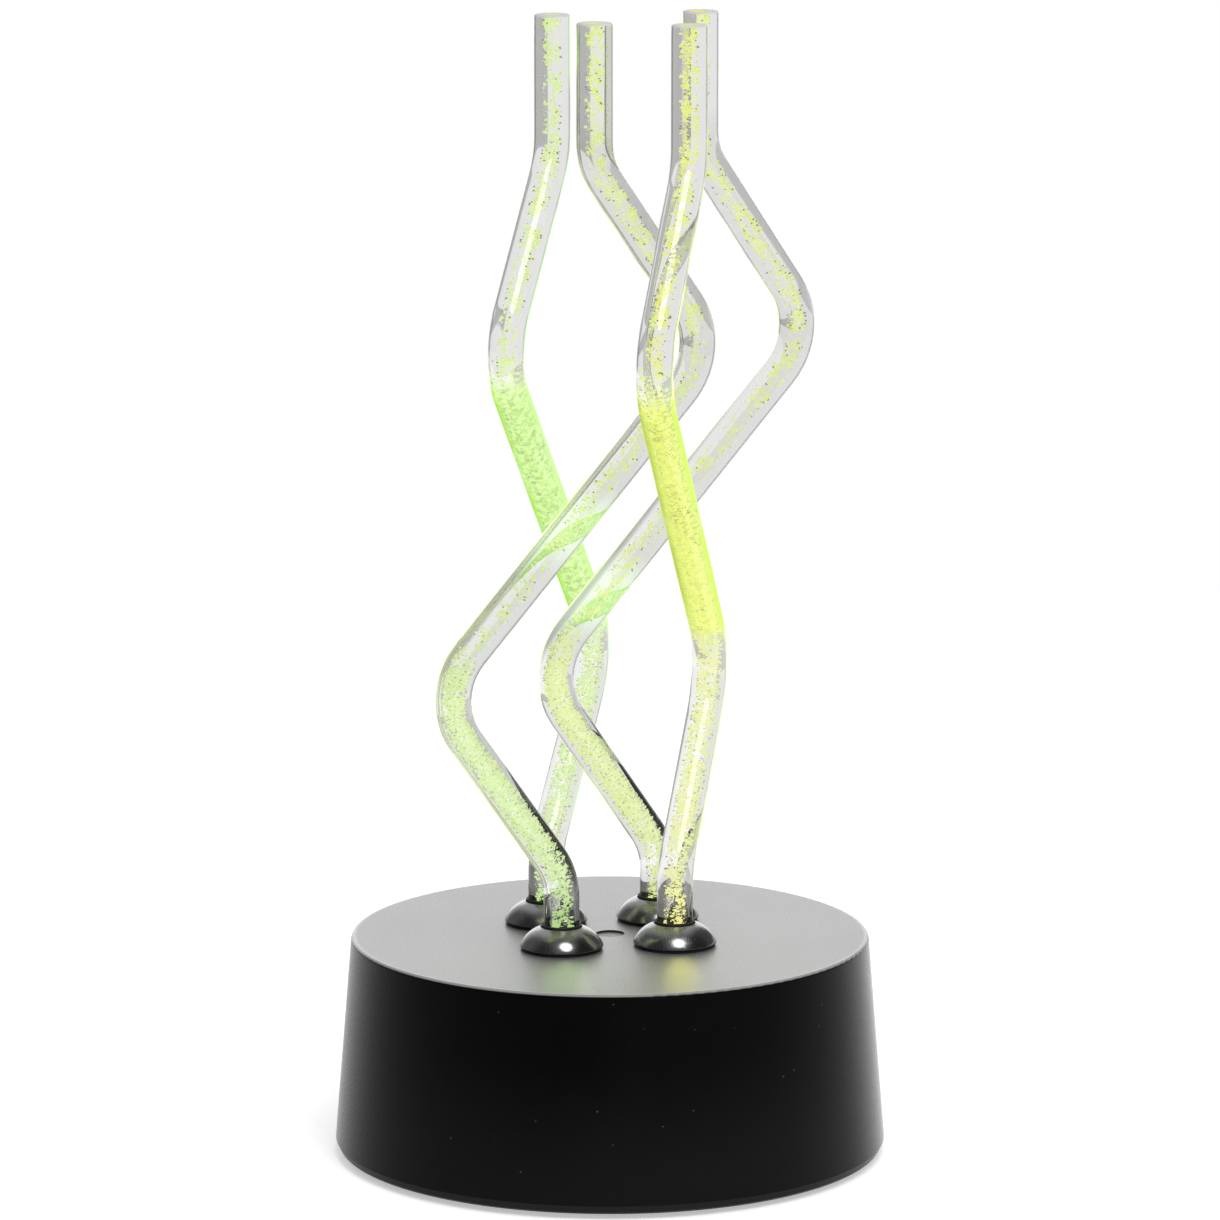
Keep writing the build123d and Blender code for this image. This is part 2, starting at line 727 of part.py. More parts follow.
# Rods: a straight foot in the bezel, then a zigzag of four bends, and a straight upright end.
# The zigzag swings back, then forward past the foot, and returns most of the way.
for name, rod in rods.items():
    foot_x, foot_y = rod_foot(rod)
    ahead = (cos(radians(rod["heading"])), sin(radians(rod["heading"])))
    aside = (-ahead[1], ahead[0])
    points = [(foot_x, foot_y, rod_foot_z), (foot_x, foot_y, shell_top_z + rise_to_first_bend)]
    zigzag = (
        (-second_bend_reach, rise_to_second_bend),
        (third_bend_reach, rise_to_third_bend),
        (top_reach, rise_to_fourth_bend),
    )
    zigzag_rise = sum(rise for reach, rise in zigzag)
    risen = 0
    for reach, rise in zigzag:
        risen += rise
        drift = rod_drift * rod["drift_share"] * risen / zigzag_rise
        points.append(
            (
                foot_x + ahead[0] * reach + aside[0] * drift,
                foot_y + ahead[1] * reach + aside[1] * drift,
                points[-1][2] + rise,
            )
        )
    points.append((points[-1][0], points[-1][1], points[-1][2] + rise_to_top))
    with BuildPart() as bubble_rod:
        with BuildLine() as rod_path:
            FilletPolyline(*points, radius=rod_bend_radius)
        with BuildSketch(Plane(origin=points[0], z_dir=(0, 0, 1))):
            Circle(rod_radius)
        sweep()
        chamfer(bubble_rod.faces().sort_by(Axis.Z)[-1].edges(), length=rod_end_chamfer)
    finish_piece(bubble_rod.part, f"rod_{name}")
    rod_length = rod_path.wire().length
    volume_share = bubble_rod.part.volume / (pi * rod_radius**2 * rod_length)
    print(f"rod_{name}: length {rod_length:.1f}, volume share {volume_share:.4f}")

# LEDs: a domed lens on a flange, with two legs through the board
for name, rod in rods.items():
    foot_x, foot_y = rod_foot(rod)
    lens_radius = led_diameter / 2
    with BuildPart() as led:
        with BuildSketch(turning_plane(foot_x, foot_y)):
            with BuildLine():
                Polyline(
                    (0, board_top_z + led_height),
                    (0, board_top_z),
                    (led_flange_diameter / 2, board_top_z),
                    (led_flange_diameter / 2, board_top_z + led_flange_height),
                    (lens_radius, board_top_z + led_flange_height),
                    (lens_radius, board_top_z + led_height - lens_radius),
                )
                RadiusArc(
                    (lens_radius, board_top_z + led_height - lens_radius),
                    (0, board_top_z + led_height),
                    -lens_radius,
                )
            make_face()
        revolve(axis=Axis((foot_x, foot_y, 0), (0, 0, 1)))
        with BuildSketch(Plane.XY.offset(board_top_z)):
            with Locations((foot_x, foot_y)):
                with GridLocations(led_leg_pitch, 0, 2, 1):
                    Rectangle(led_leg_width, led_leg_width)
        extrude(amount=-led_leg_length)
    finish_piece(led.part, f"led_{name}")

# Driver board: a round plate with holes for its screws and for the legs of the LEDs
with BuildPart() as led_board:
    with BuildSketch(Plane.XY.offset(board_bottom_z)):
        Circle(board_radius)
        with PolarLocations(board_post_circle_radius, board_post_count):
            Circle(board_screw_diameter / 2 + board_hole_clearance, mode=Mode.SUBTRACT)
        with GridLocations(rod_spacing, rod_spacing, 2, 2):
            with GridLocations(led_leg_pitch, 0, 2, 1):
                Circle(hypot(led_leg_width, led_leg_width) / 2 + slip_clearance, mode=Mode.SUBTRACT)
    extrude(amount=board_thickness)
finish_piece(led_board.part, "led_board")

# Board screws: heads under the board, shanks up into the posts
with BuildPart() as board_screws:
    with BuildSketch(Plane.XY.offset(board_bottom_z)):
        with PolarLocations(board_post_circle_radius, board_post_count):
            Circle(board_screw_head_diameter / 2)
    extrude(amount=-board_screw_head_height)
    with BuildSketch(Plane.XY.offset(board_bottom_z)):
        with PolarLocations(board_post_circle_radius, board_post_count):
            Circle(board_screw_diameter / 2)
    extrude(amount=board_thickness + board_screw_grip)
finish_piece(board_screws.part, "board_screws")

# Controller chip in the middle of the board, with a row of legs on two sides
with BuildPart() as controller_chip:
    with BuildSketch(Plane.XY.offset(board_top_z)):
        Rectangle(chip_length, chip_width)
    extrude(amount=chip_height)
    chamfer(controller_chip.faces().sort_by(Axis.Z)[-1].edges(), length=chip_chamfer)
    with BuildSketch(Plane.XY.offset(board_top_z)):
        with GridLocations(chip_leg_pitch, chip_width + chip_leg_length, chip_legs_per_side, 2):
            Rectangle(chip_leg_width, chip_leg_length)
    extrude(amount=chip_leg_height)
finish_piece(controller_chip.part, "controller_chip")

# Resistors between the LEDs
with BuildPart() as board_resistors:
    with BuildSketch(Plane.XY.offset(board_top_z)):
        with PolarLocations(resistor_ring_radius, resistor_count):
            Rectangle(resistor_width, resistor_length)
    extrude(amount=resistor_height)
finish_piece(board_resistors.part, "board_resistors")

# Capacitor: a can with a rounded top and a crimped groove near its foot
capacitor_bearing_radians = radians(capacitor_bearing)
capacitor_x = (board_radius - capacitor_edge) * cos(capacitor_bearing_radians)
capacitor_y = (board_radius - capacitor_edge) * sin(capacitor_bearing_radians)
with BuildPart() as board_capacitor:
    with BuildSketch(Plane.XY.offset(board_top_z)):
        with Locations((capacitor_x, capacitor_y)):
            Circle(capacitor_diameter / 2)
    extrude(amount=capacitor_height)
    fillet(board_capacitor.edges().group_by(Axis.Z)[-1], radius=capacitor_edge_radius)
    with BuildSketch(Plane.XY.offset(board_top_z + capacitor_crimp_height)):
        with Locations((capacitor_x, capacitor_y)):
            Circle(capacitor_diameter / 2)
            Circle(capacitor_diameter / 2 - capacitor_crimp_depth, mode=Mode.SUBTRACT)
    extrude(amount=capacitor_crimp_depth, mode=Mode.SUBTRACT)
finish_piece(board_capacitor.part, "board_capacitor")

# Switch housing: a flange on the panel and a box behind it, open towards the back, with pivot holes
flange_face_y = switch_panel_y + switch_flange_thickness
pivot_y = flange_face_y + rocker_proud - rocker_valley * cos(radians(rocker_tilt))
well_floor_y = pivot_y - rocker_length / 2 - rocker_clearance
housing_back_y = well_floor_y - switch_back_wall
with BuildPart() as switch_housing:
    with BuildSketch(rear_plane(housing_back_y)):
        with Locations((0, switch_z)):
            Rectangle(switch_body_width, switch_body_height)
    extrude(amount=switch_panel_y - housing_back_y)
    with BuildSketch(rear_plane(switch_panel_y)):
        with Locations((0, switch_z)):
            RectangleRounded(switch_flange_width, switch_flange_height, switch_flange_corner)
    extrude(amount=switch_flange_thickness)
    with BuildSketch(rear_plane(well_floor_y)):
        with Locations((0, switch_z)):
            Rectangle(switch_well_width, switch_well_height)
    extrude(amount=flange_face_y - well_floor_y, mode=Mode.SUBTRACT)
    with BuildSketch(Plane.YZ):
        with Locations((pivot_y, switch_z)):
            Circle(trunnion_diameter / 2 + running_clearance)
    extrude(amount=switch_body_width, both=True, mode=Mode.SUBTRACT)
    with BuildSketch(rear_plane(housing_back_y)):
        with Locations((0, switch_z - terminal_spread), (0, switch_z + terminal_spread)):
            Rectangle(terminal_thickness + 2 * running_clearance, terminal_width + 2 * running_clearance)
    extrude(amount=switch_back_wall, mode=Mode.SUBTRACT)
finish_piece(switch_housing.part, "switch_housing")

# Rocker: two wings that meet in a shallow valley over a round belly, with a trunnion on each side.
# It is drawn level and then turned to the lit position, with its upper wing pressed in.
rocker_plane = Plane(origin=(0, pivot_y, switch_z), x_dir=(0, 1, 0), z_dir=(1, 0, 0))
pressed_plane = rocker_plane.rotated((rocker_tilt, 0, 0))
half_rocker = rocker_length / 2
with BuildPart() as switch_rocker:
    with BuildSketch(pressed_plane) as rocker_profile:
        with BuildLine():
            Polyline(
                (0, half_rocker),
                (rocker_tip, half_rocker),
                (rocker_valley, 0),
                (rocker_tip, -half_rocker),
                (0, -half_rocker),
            )
            ThreePointArc((0, -half_rocker), (-half_rocker, 0), (0, half_rocker))
        make_face()
        fillet(rocker_profile.vertices().group_by(Axis.X)[-1], radius=rocker_tip_radius)
    extrude(amount=rocker_width / 2, both=True)
    with BuildSketch(rocker_plane):
        Circle(trunnion_diameter / 2)
    extrude(amount=switch_body_width / 2 - trunnion_end_gap, both=True)
finish_piece(switch_rocker.part, "switch_rocker")

# Switch terminals: two blades through the back of the housing
terminal_end_y = housing_back_y - terminal_length
with BuildPart() as switch_terminals:
    with BuildSketch(rear_plane(terminal_end_y)):
        with Locations((0, switch_z - terminal_spread), (0, switch_z + terminal_spread)):
            Rectangle(terminal_thickness, terminal_width)
    extrude(amount=well_floor_y - terminal_end_y)
finish_piece(switch_terminals.part, "switch_terminals")


def around_axis(radius, bearing, z):
    """Point at a radius and a bearing in degrees about the lamp's axis."""
    return (radius * cos(radians(bearing)), radius * sin(radians(bearing)), z)


# Wires inside the base: each leaves a soldered face square on, and bends in wide arcs through the room
# between the board and the screw bosses. Two of them loop over the board's edge and down to a pad on it.
tab_z = bay_top_z + contact_tab_height / 2
blade_face_x = terminal_thickness / 2
blade_y = terminal_end_y + lead_diameter
upper_blade_z = switch_z + terminal_spread
lower_blade_z = switch_z - terminal_spread
loop_z = board_top_z + lead_loop_height
lead_ring_radius = (board_radius + cover_screw_circle_radius - cover_boss_diameter / 2) / 2
lead_pad_radius = board_radius - lead_pad_edge
lead_routes = {
    "positive_lead": [
        (bay_half_length, cell_pitch, tab_z),
        (bay_half_length + lead_exit, cell_pitch, tab_z),
        *[
            around_axis(lead_ring_radius, bearing, tab_z + share * (upper_blade_z - tab_z))
            for bearing, share in zip(positive_lead_bearings, positive_lead_rise_shares)
        ],
        (blade_face_x + lead_exit, blade_y, upper_blade_z),
        (blade_face_x, blade_y, upper_blade_z),
    ],
    "switched_lead": [
        (-blade_face_x, blade_y, lower_blade_z),
        (-blade_face_x - lead_exit, blade_y, lower_blade_z),
        around_axis(
            lead_ring_radius,
            switched_lead_bearing,
            lower_blade_z + lead_rise_share * (loop_z - lower_blade_z),
        ),
        around_axis(lead_pad_radius, switched_lead_bearing, loop_z),
        around_axis(lead_pad_radius, switched_lead_bearing, board_top_z),
    ],
    "negative_lead": [
        (-bay_half_length, -cell_pitch, tab_z),
        (-bay_half_length - lead_exit, -cell_pitch, tab_z),
        around_axis(lead_ring_radius, negative_lead_bearing, tab_z + lead_rise_share * (loop_z - tab_z)),
        around_axis(lead_pad_radius, negative_lead_bearing, loop_z),
        around_axis(lead_pad_radius, negative_lead_bearing, board_top_z),
    ],
}
for name, route in lead_routes.items():
    corners = [Vector(*point) for point in route]
    bend_radii = []
    for before, here, after in zip(corners, corners[1:], corners[2:]):
        turn = (here - before).get_angle(after - here)
        shorter = min((here - before).length, (after - here).length)
        bend_radii.append(lead_bend_share * shorter / tan(radians(turn / 2)))
    with BuildPart() as lead:
        with BuildLine() as lead_path:
            FilletPolyline(*corners, radius=bend_radii)
        with BuildSketch(Plane(origin=corners[0], z_dir=corners[1] - corners[0])):
            Circle(lead_diameter / 2)
        sweep()
    finish_piece(lead.part, name)
    lead_length = lead_path.wire().length
    volume_share = lead.part.volume / (pi * lead_diameter**2 / 4 * lead_length)
    radii = ", ".join(f"{radius:.1f}" for radius in bend_radii)
    print(f"{name}: length {lead_length:.1f}, radii {radii}, volume share {volume_share:.4f}")
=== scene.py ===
import math
import random

import bpy
from mathutils import Matrix, Vector, noise


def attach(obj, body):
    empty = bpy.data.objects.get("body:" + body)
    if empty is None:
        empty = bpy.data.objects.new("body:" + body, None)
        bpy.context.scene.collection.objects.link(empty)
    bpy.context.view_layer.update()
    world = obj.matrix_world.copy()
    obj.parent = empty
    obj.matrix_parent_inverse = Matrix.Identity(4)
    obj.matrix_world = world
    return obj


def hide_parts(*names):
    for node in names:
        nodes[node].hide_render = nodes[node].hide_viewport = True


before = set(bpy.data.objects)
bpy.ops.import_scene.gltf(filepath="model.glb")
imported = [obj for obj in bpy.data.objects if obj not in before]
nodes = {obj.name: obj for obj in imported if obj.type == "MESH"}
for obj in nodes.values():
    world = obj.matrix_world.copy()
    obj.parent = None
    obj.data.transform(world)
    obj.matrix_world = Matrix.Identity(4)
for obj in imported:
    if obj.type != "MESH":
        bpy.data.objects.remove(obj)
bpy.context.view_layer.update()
bpy.ops.object.select_all(action="DESELECT")


# Base shell: one moulding in black ABS with a fine satin grain, open below. The rim is slightly rounded,
# a round gate mark is sunk into the middle of the top, and the back has a flat pocket for the switch.
class Shade:
    """A socket of a material's nodes. Sums and products of sockets and numbers add Math nodes."""

    def __init__(self, tree, socket=None):
        self.tree = tree
        self.socket = socket

    def add(self, kind, settings=None, inputs=None, output=0):
        """Adds a node, makes its settings, fills its sockets with values or links, and gives an output."""
        node = self.tree.nodes.new(kind)
        for name, value in (settings or {}).items():
            setattr(node, name, value)
        for name, value in (inputs or {}).items():
            if isinstance(value, Shade):
                self.tree.links.new(value.socket, node.inputs[name])
            else:
                node.inputs[name].default_value = value
        return Shade(self.tree, node.outputs[output])

    def math(self, operation, *values):
        """Math node on values or links."""
        return self.add("ShaderNodeMath", {"operation": operation}, dict(enumerate(values)))

    def __add__(self, other):
        return self.math("ADD", self, other)

    def __sub__(self, other):
        return self.math("SUBTRACT", self, other)

    def __rsub__(self, other):
        return self.math("SUBTRACT", other, self)

    def __mul__(self, other):
        return self.math("MULTIPLY", self, other)

    __radd__ = __add__
    __rmul__ = __mul__

    def between(self, low, high):
        """0 below low and 1 above high, with a smooth step between them. Low may be the larger one."""
        settings = {"interpolation_type": "SMOOTHSTEP"}
        return self.add("ShaderNodeMapRange", settings, {"Value": self, "From Min": low, "From Max": high})

    def mix(self, first, second):
        """Colour from the first to the second as this socket goes from 0 to 1."""
        return self.add("ShaderNodeMix", {"data_type": "RGBA"}, {0: self, 6: first, 7: second}, 2)

    def noise(self, scale, detail=2.0, roughness=0.5, stretch=None):
        """Noise on this socket's coordinates, from about 0.3 to 0.7, with that many cells in a metre."""
        place = self
        if stretch:
            place = self.add("ShaderNodeMapping", None, {"Vector": self, "Scale": stretch})
        inputs = {"Vector": place, "Scale": scale, "Detail": detail, "Roughness": roughness}
        return self.add("ShaderNodeTexNoise", None, inputs)

    def part(self, axis):
        """X, Y or Z of this socket's vector."""
        return self.add("ShaderNodeSeparateXYZ", None, {0: self}, axis)

    def grazing(self):
        """0 where a surface is seen square on and 1 at its edges, for gloss and glass."""
        return self.add("ShaderNodeLayerWeight", None, {"Blend": 0.5}, "Facing")


def new_finish(name):
    """A material with one Principled shader. Gives the material, its object coordinates and its shader."""
    material = bpy.data.materials.new(name)
    material.use_nodes = True
    tree = material.node_tree
    shader = tree.nodes["Principled BSDF"]
    place = Shade(tree).add("ShaderNodeTexCoord", output="Object")
    return material, place, shader


def set_sockets(shader, **values):
    """Fills a shader's sockets with values or links. An underscore in a name stands for a space."""
    for name, value in values.items():
        socket = shader.inputs[name.replace("_", " ")]
        if isinstance(value, Shade):
            value.tree.links.new(value.socket, socket)
        else:
            socket.default_value = value


def bump(height, strength, depth):
    """Normal for a relief whose height goes from 0 to 1 over that depth in metres."""
    inputs = {"Height": height, "Strength": strength, "Distance": depth}
    return height.add("ShaderNodeBump", None, inputs)


def dress(material, *names):
    """Puts a material on CAD nodes that stay as they are."""
    for name in names:
        for slot in nodes[name].material_slots:
            slot.material = material


def dust_on(place, cells, size, share):
    """Mask of sparse specks: one in some of the cells, that many cells in a metre."""
    inputs = {"Vector": place, "Scale": cells}
    node = place.add("ShaderNodeTexVoronoi", None, inputs)
    colour = Shade(place.tree, node.socket.node.outputs["Color"])
    chosen = colour.add("ShaderNodeSeparateColor", None, {"Color": colour})
    return node.between(size, size * 0.6) * chosen.between(1 - share, 1 - share + 0.02)


top_level = (0.0592, 0.0598)
rim_level, rim_reach = (0.0594, 0.0597), (0.0688, 0.0696)
# Below this level the side wall is painted lighter: a painted reflection of the floor.
floor_glow_level = (0.045, 0.006)
side_black = (0.0006, 0.0006, 0.0006, 1)
floor_glow_black = (0.0072, 0.0072, 0.0072, 1)
top_black = (0.022, 0.022, 0.0225, 1)
# Grey of a painted highlight along the rim.
rim_highlight_grey = (0.28, 0.28, 0.28, 1)
speck_grey = (0.06, 0.06, 0.06, 1)
base_plastic, place, shader = new_finish("satin_black_abs")
across, depth, height = (place.part(axis) for axis in "XYZ")
grain = place.noise(1500, 3.0, 0.6)
haze = place.noise(28, 4.0, 0.6)
wiped = place.noise(70, 5.0, 0.65, stretch=(1.0, 0.25, 0.25))
dust = dust_on(place, 240, 0.075, 0.40)
from_axis = across.math("SQRT", across * across + depth * depth)
# Painted highlight: the rounded rim is painted a lighter grey all round.
rim_highlight = height.between(*rim_level) * from_axis.between(*rim_reach)
top_face = height.between(*top_level)
grazed = place.grazing().between(0.50, 0.80) * (top_face * 0.90 + 0.10)
# The side wall is painted lighter towards the bottom, a painted reflection of the floor, with some random
# haze.
floor_glow_and_haze = height.between(*floor_glow_level) * 0.85 + haze.between(0.3, 0.7) * 0.15
dark = floor_glow_and_haze.mix(side_black, floor_glow_black)
# Painted light and shade: the top face is painted lighter than the side wall.
dark = top_face.mix(dark, top_black)
dark = rim_highlight.mix(dark, rim_highlight_grey)
set_sockets(
    shader,
    Base_Color=dust.mix(dark, speck_grey),
    Roughness=haze * 0.14 + wiped * 0.10 + grain * 0.20 + 0.06,
    Normal=bump(grain, 0.02, 0.0001),
    IOR=1.12,
    Coat_Weight=grazed,
    Coat_Roughness=0.46,
    Coat_IOR=2.6,
    Sheen_Weight=0.60,
    Sheen_Roughness=0.30,
)
dress(base_plastic, "base_shell")

# Bottom cover and battery door: flat mouldings in the same black ABS, straight from a smoother tool,
# held to the shell by four screws. The door hooks in at the front and snaps shut with a bent tongue.
cover_black, scuffed_grey = (0.0035, 0.0035, 0.0038, 1), (0.02, 0.02, 0.02, 1)
cover_plastic, place, shader = new_finish("smooth_black_abs")
grain = place.noise(900, 2.0)
haze = place.noise(45, 4.0, 0.6)
scuffs = place.noise(160, 6.0, 0.7, stretch=(0.3, 1.0, 1.0)).between(0.58, 0.72)
set_sockets(
    shader,
    Base_Color=scuffs.mix(cover_black, scuffed_grey),
    Roughness=haze * 0.12 + scuffs * 0.2 + 0.16,
    Normal=bump(grain, 0.05, 0.0001),
    IOR=1.28,
)
dress(cover_plastic, "base_cover", "battery_door")

# Thumb grip on the door: three low ribs beside its tongue, moulded in one with the door. They give the thumb
# a hold while it presses the tongue and swings the door open.
rib_length, rib_width, rib_height = 0.0120, 0.0009, 0.00040
rib_pitch, first_rib_depth = 0.0019, 0.0190
door_face = 0.0015


def copy_piece(piece, name, shift):
    """Copy of a finished piece with its own mesh, moved by a vector."""
    copied = piece.copy()
    copied.data = piece.data.copy()
    copied.name = name
    copied.data.transform(Matrix.Translation(shift))
    bpy.context.scene.collection.objects.link(copied)
    return copied


bpy.ops.object.select_all(action="DESELECT")
bpy.ops.mesh.primitive_cube_add(size=1.0, location=(0, first_rib_depth, door_face))
first_rib = bpy.context.object
first_rib.name = "door_rib_1"
first_rib.scale = (rib_length, rib_width, rib_height * 2)
bpy.ops.object.transform_apply(location=True, rotation=True, scale=True)
bpy.ops.object.mode_set(mode="EDIT")
bpy.ops.mesh.select_all(action="SELECT")
bpy.ops.mesh.bevel(offset=rib_height * 0.9, segments=4)
bpy.ops.object.mode_set(mode="OBJECT")
bpy.ops.object.shade_smooth_by_angle(angle=math.radians(40))
first_rib.data.materials.append(cover_plastic)
ribs = [first_rib]
for number in (1, 2):
    ribs.append(copy_piece(first_rib, f"door_rib_{number + 1}", Vector((0, -rib_pitch * number, 0))))
for rib in ribs:
    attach(rib, "door")

# Rubber feet, collars in the mouths of the bezels and washers under the domes: moulded in matte black
# rubber. The feet are bonded into recesses of the cover, and the bezels hold the collars and washers.
rubber_black, bloom_grey = (0.006, 0.006, 0.006, 1), (0.02, 0.02, 0.019, 1)
rubber, place, shader = new_finish("moulded_rubber")
grain = place.noise(1800, 4.0, 0.7)
bloom = place.noise(150, 3.0)
set_sockets(
    shader,
    Base_Color=bloom.between(0.3, 0.8).mix(rubber_black, bloom_grey),
    Roughness=grain * 0.3 + 0.5,
    Normal=bump(grain, 0.25, 0.0001),
)
rod_seals = [name for name in nodes if name.startswith("rod_seal_")]
dress(rubber, "rubber_feet", "bezel_washers", *rod_seals)

# Bezels: turned brass domes, polished and plated in black nickel, each with a long threaded spigot through
# the top of the base and a bore that takes the foot of a rod.
corners = ("front_left", "front_right", "rear_left", "rear_right")
foot_spacing = 0.0309
feet = {
    "front_left": Vector((-foot_spacing / 2, -foot_spacing / 2, 0)),
    "front_right": Vector((foot_spacing / 2, -foot_spacing / 2, 0)),
    "rear_left": Vector((-foot_spacing / 2, foot_spacing / 2, 0)),
    "rear_right": Vector((foot_spacing / 2, foot_spacing / 2, 0)),
}


def turn_piece(name, centre, profile, segments):
    """Turned piece: a ring is extruded and scaled along a closed profile of (radius, height) points."""
    bpy.ops.object.select_all(action="DESELECT")
    radius, height = profile[0]
    bpy.ops.mesh.primitive_circle_add(
        vertices=segments, radius=radius, location=(centre.x, centre.y, height)
    )
    piece = bpy.context.object
    piece.name = name
    bpy.ops.object.transform_apply(location=True, rotation=True, scale=True)
    bpy.ops.object.mode_set(mode="EDIT")
    bpy.ops.mesh.select_all(action="SELECT")
    for next_radius, next_height in profile[1:]:
        bpy.ops.mesh.extrude_region_move(
            TRANSFORM_OT_translate={"value": (0, 0, next_height - height)}
        )
        bpy.ops.transform.resize(
            value=(next_radius / radius, next_radius / radius, 1),
            center_override=(centre.x, centre.y, next_height),
        )
        radius, height = next_radius, next_height
    bpy.ops.mesh.select_all(action="SELECT")
    bpy.ops.mesh.remove_doubles(threshold=1e-6)
    bpy.ops.mesh.normals_make_consistent(inside=False)
    bpy.ops.object.mode_set(mode="OBJECT")
    bpy.ops.object.shade_smooth_by_angle(angle=math.radians(32))
    return piece


def arc_points(start, end, bulge, steps):
    """Points on an arc between two (radius, height) points that bulges outwards by that much."""
    start, end = Vector(start), Vector(end)
    chord = end - start
    outward = Vector((chord.y, -chord.x)).normalized()
    radius = chord.length**2 / (8 * bulge) + bulge / 2
    middle = (start + end) / 2 - outward * (radius - bulge)
    half = math.asin(chord.length / 2 / radius)
    points = []
    for step in range(steps + 1):
        angle = half * (2 * step / steps - 1)
        out = outward * radius * math.cos(angle)
        along = chord.normalized() * radius * math.sin(angle)
        points.append(tuple(middle + out + along))
    return points


dome_arc = arc_points((0.01130, 0.06122), (0.00592, 0.06612), 0.00075, 14)
bezel_profile = [
    (0.00270, 0.0380),
    (0.00660, 0.0380),
    (0.00695, 0.0384),
    (0.00695, 0.0607),
    (0.01095, 0.0607),
    (0.01118, 0.06074),
    (0.01128, 0.06088),
    (0.01131, 0.06105),
    *dome_arc,
    (0.00584, 0.06618),
    (0.00574, 0.06620),
    (0.00564, 0.06618),
    (0.00556, 0.06610),
    (0.00550, 0.06600),
    (0.00550, 0.0646),
    (0.00495, 0.0646),
    (0.00495, 0.0410),
    (0.00270, 0.0410),
    (0.00270, 0.0380),
]
dome_segments = 96
plate_dark, plate_pale = (0.17, 0.17, 0.175, 1), (0.38, 0.38, 0.385, 1)
black_nickel, place, shader = new_finish("black_nickel_plate")
polish = place.noise(55, 4.0, 0.6)
hairlines = place.noise(420, 6.0, 0.75, stretch=(1.0, 0.16, 0.5)).between(0.55, 0.75)
pits = dust_on(place, 700, 0.10, 0.05)
set_sockets(
    shader,
    Base_Color=(hairlines * 0.5 + polish * 0.5).mix(plate_dark, plate_pale),
    Metallic=1.0,
    Roughness=polish * 0.14 + hairlines * 0.22 + pits * 0.2 + 0.125,
    Normal=bump(hairlines + polish * 0.3, 0.10, 0.0001),
)
first_bezel = turn_piece("bezel_dome_front_left", feet["front_left"], bezel_profile, dome_segments)
first_bezel.data.materials.append(black_nickel)
for corner in corners:
    bezel = first_bezel
    if corner != "front_left":
        bezel = copy_piece(first_bezel, f"bezel_dome_{corner}", feet[corner] - feet["front_left"])
    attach(bezel, "lamp")
    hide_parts(f"bezel_{corner}")

# Rods: clear cast acrylic, heated and bent four times round one former, and sawn square at the top. Each
# stands in its bezel on its own heading, and the long middle runs of two of them carry the LEDs' colour
# as painted glow.
rod_radius = 0.00485
rod_segments = 56
bend_radius = 0.0195
degrees_per_step = 4
top_chamfer = 0.0004
foot_height = 0.0410
first_bend_height = 0.0805
zigzag_rises = (0.0514, 0.0903, 0.0507)
zigzag_reaches = (-0.0365, 0.0432, 0.0082)
rise_to_top = 0.0376
rod_drift = 0.0092
rods = {
    "front_left": {"heading": 13.0, "drift_share": -0.40},
    "front_right": {"heading": -113.5, "drift_share": 0.62},
    "rear_left": {"heading": -119.5, "drift_share": 0.59},
    "rear_right": {"heading": 14.9, "drift_share": -1.00},
}


def rod_route(corner):
    """Corners of a rod's centreline, from its foot to its top."""
    heading = math.radians(rods[corner]["heading"])
    ahead = Vector((math.cos(heading), math.sin(heading), 0))
    aside = Vector((-math.sin(heading), math.cos(heading), 0))
    foot = feet[corner]
    route = [foot + Vector((0, 0, foot_height)), foot + Vector((0, 0, first_bend_height))]
    risen = 0
    for reach, rise in zip(zigzag_reaches, zigzag_rises):
        risen += rise
        drift = rod_drift * rods[corner]["drift_share"] * risen / sum(zigzag_rises)
        height = first_bend_height + risen
        route.append(foot + ahead * reach + aside * drift + Vector((0, 0, height)))
    route.append(route[-1] + Vector((0, 0, rise_to_top)))
    return route


def rod_bends(route):
    """For each bend of a route: where it starts and ends, its centre, its axis and its turn."""
    bends = []
    for before, corner, after in zip(route, route[1:], route[2:]):
        inward = (corner - before).normalized()
        onward = (after - corner).normalized()
        turn = inward.angle(onward)
        tangent = bend_radius * math.tan(turn / 2)
        axis = inward.cross(onward).normalized()
        start = corner - inward * tangent
        end = corner + onward * tangent
        centre = start + axis.cross(inward) * bend_radius
        bends.append({"start": start, "end": end, "centre": centre, "axis": axis, "turn": turn})
    return bends


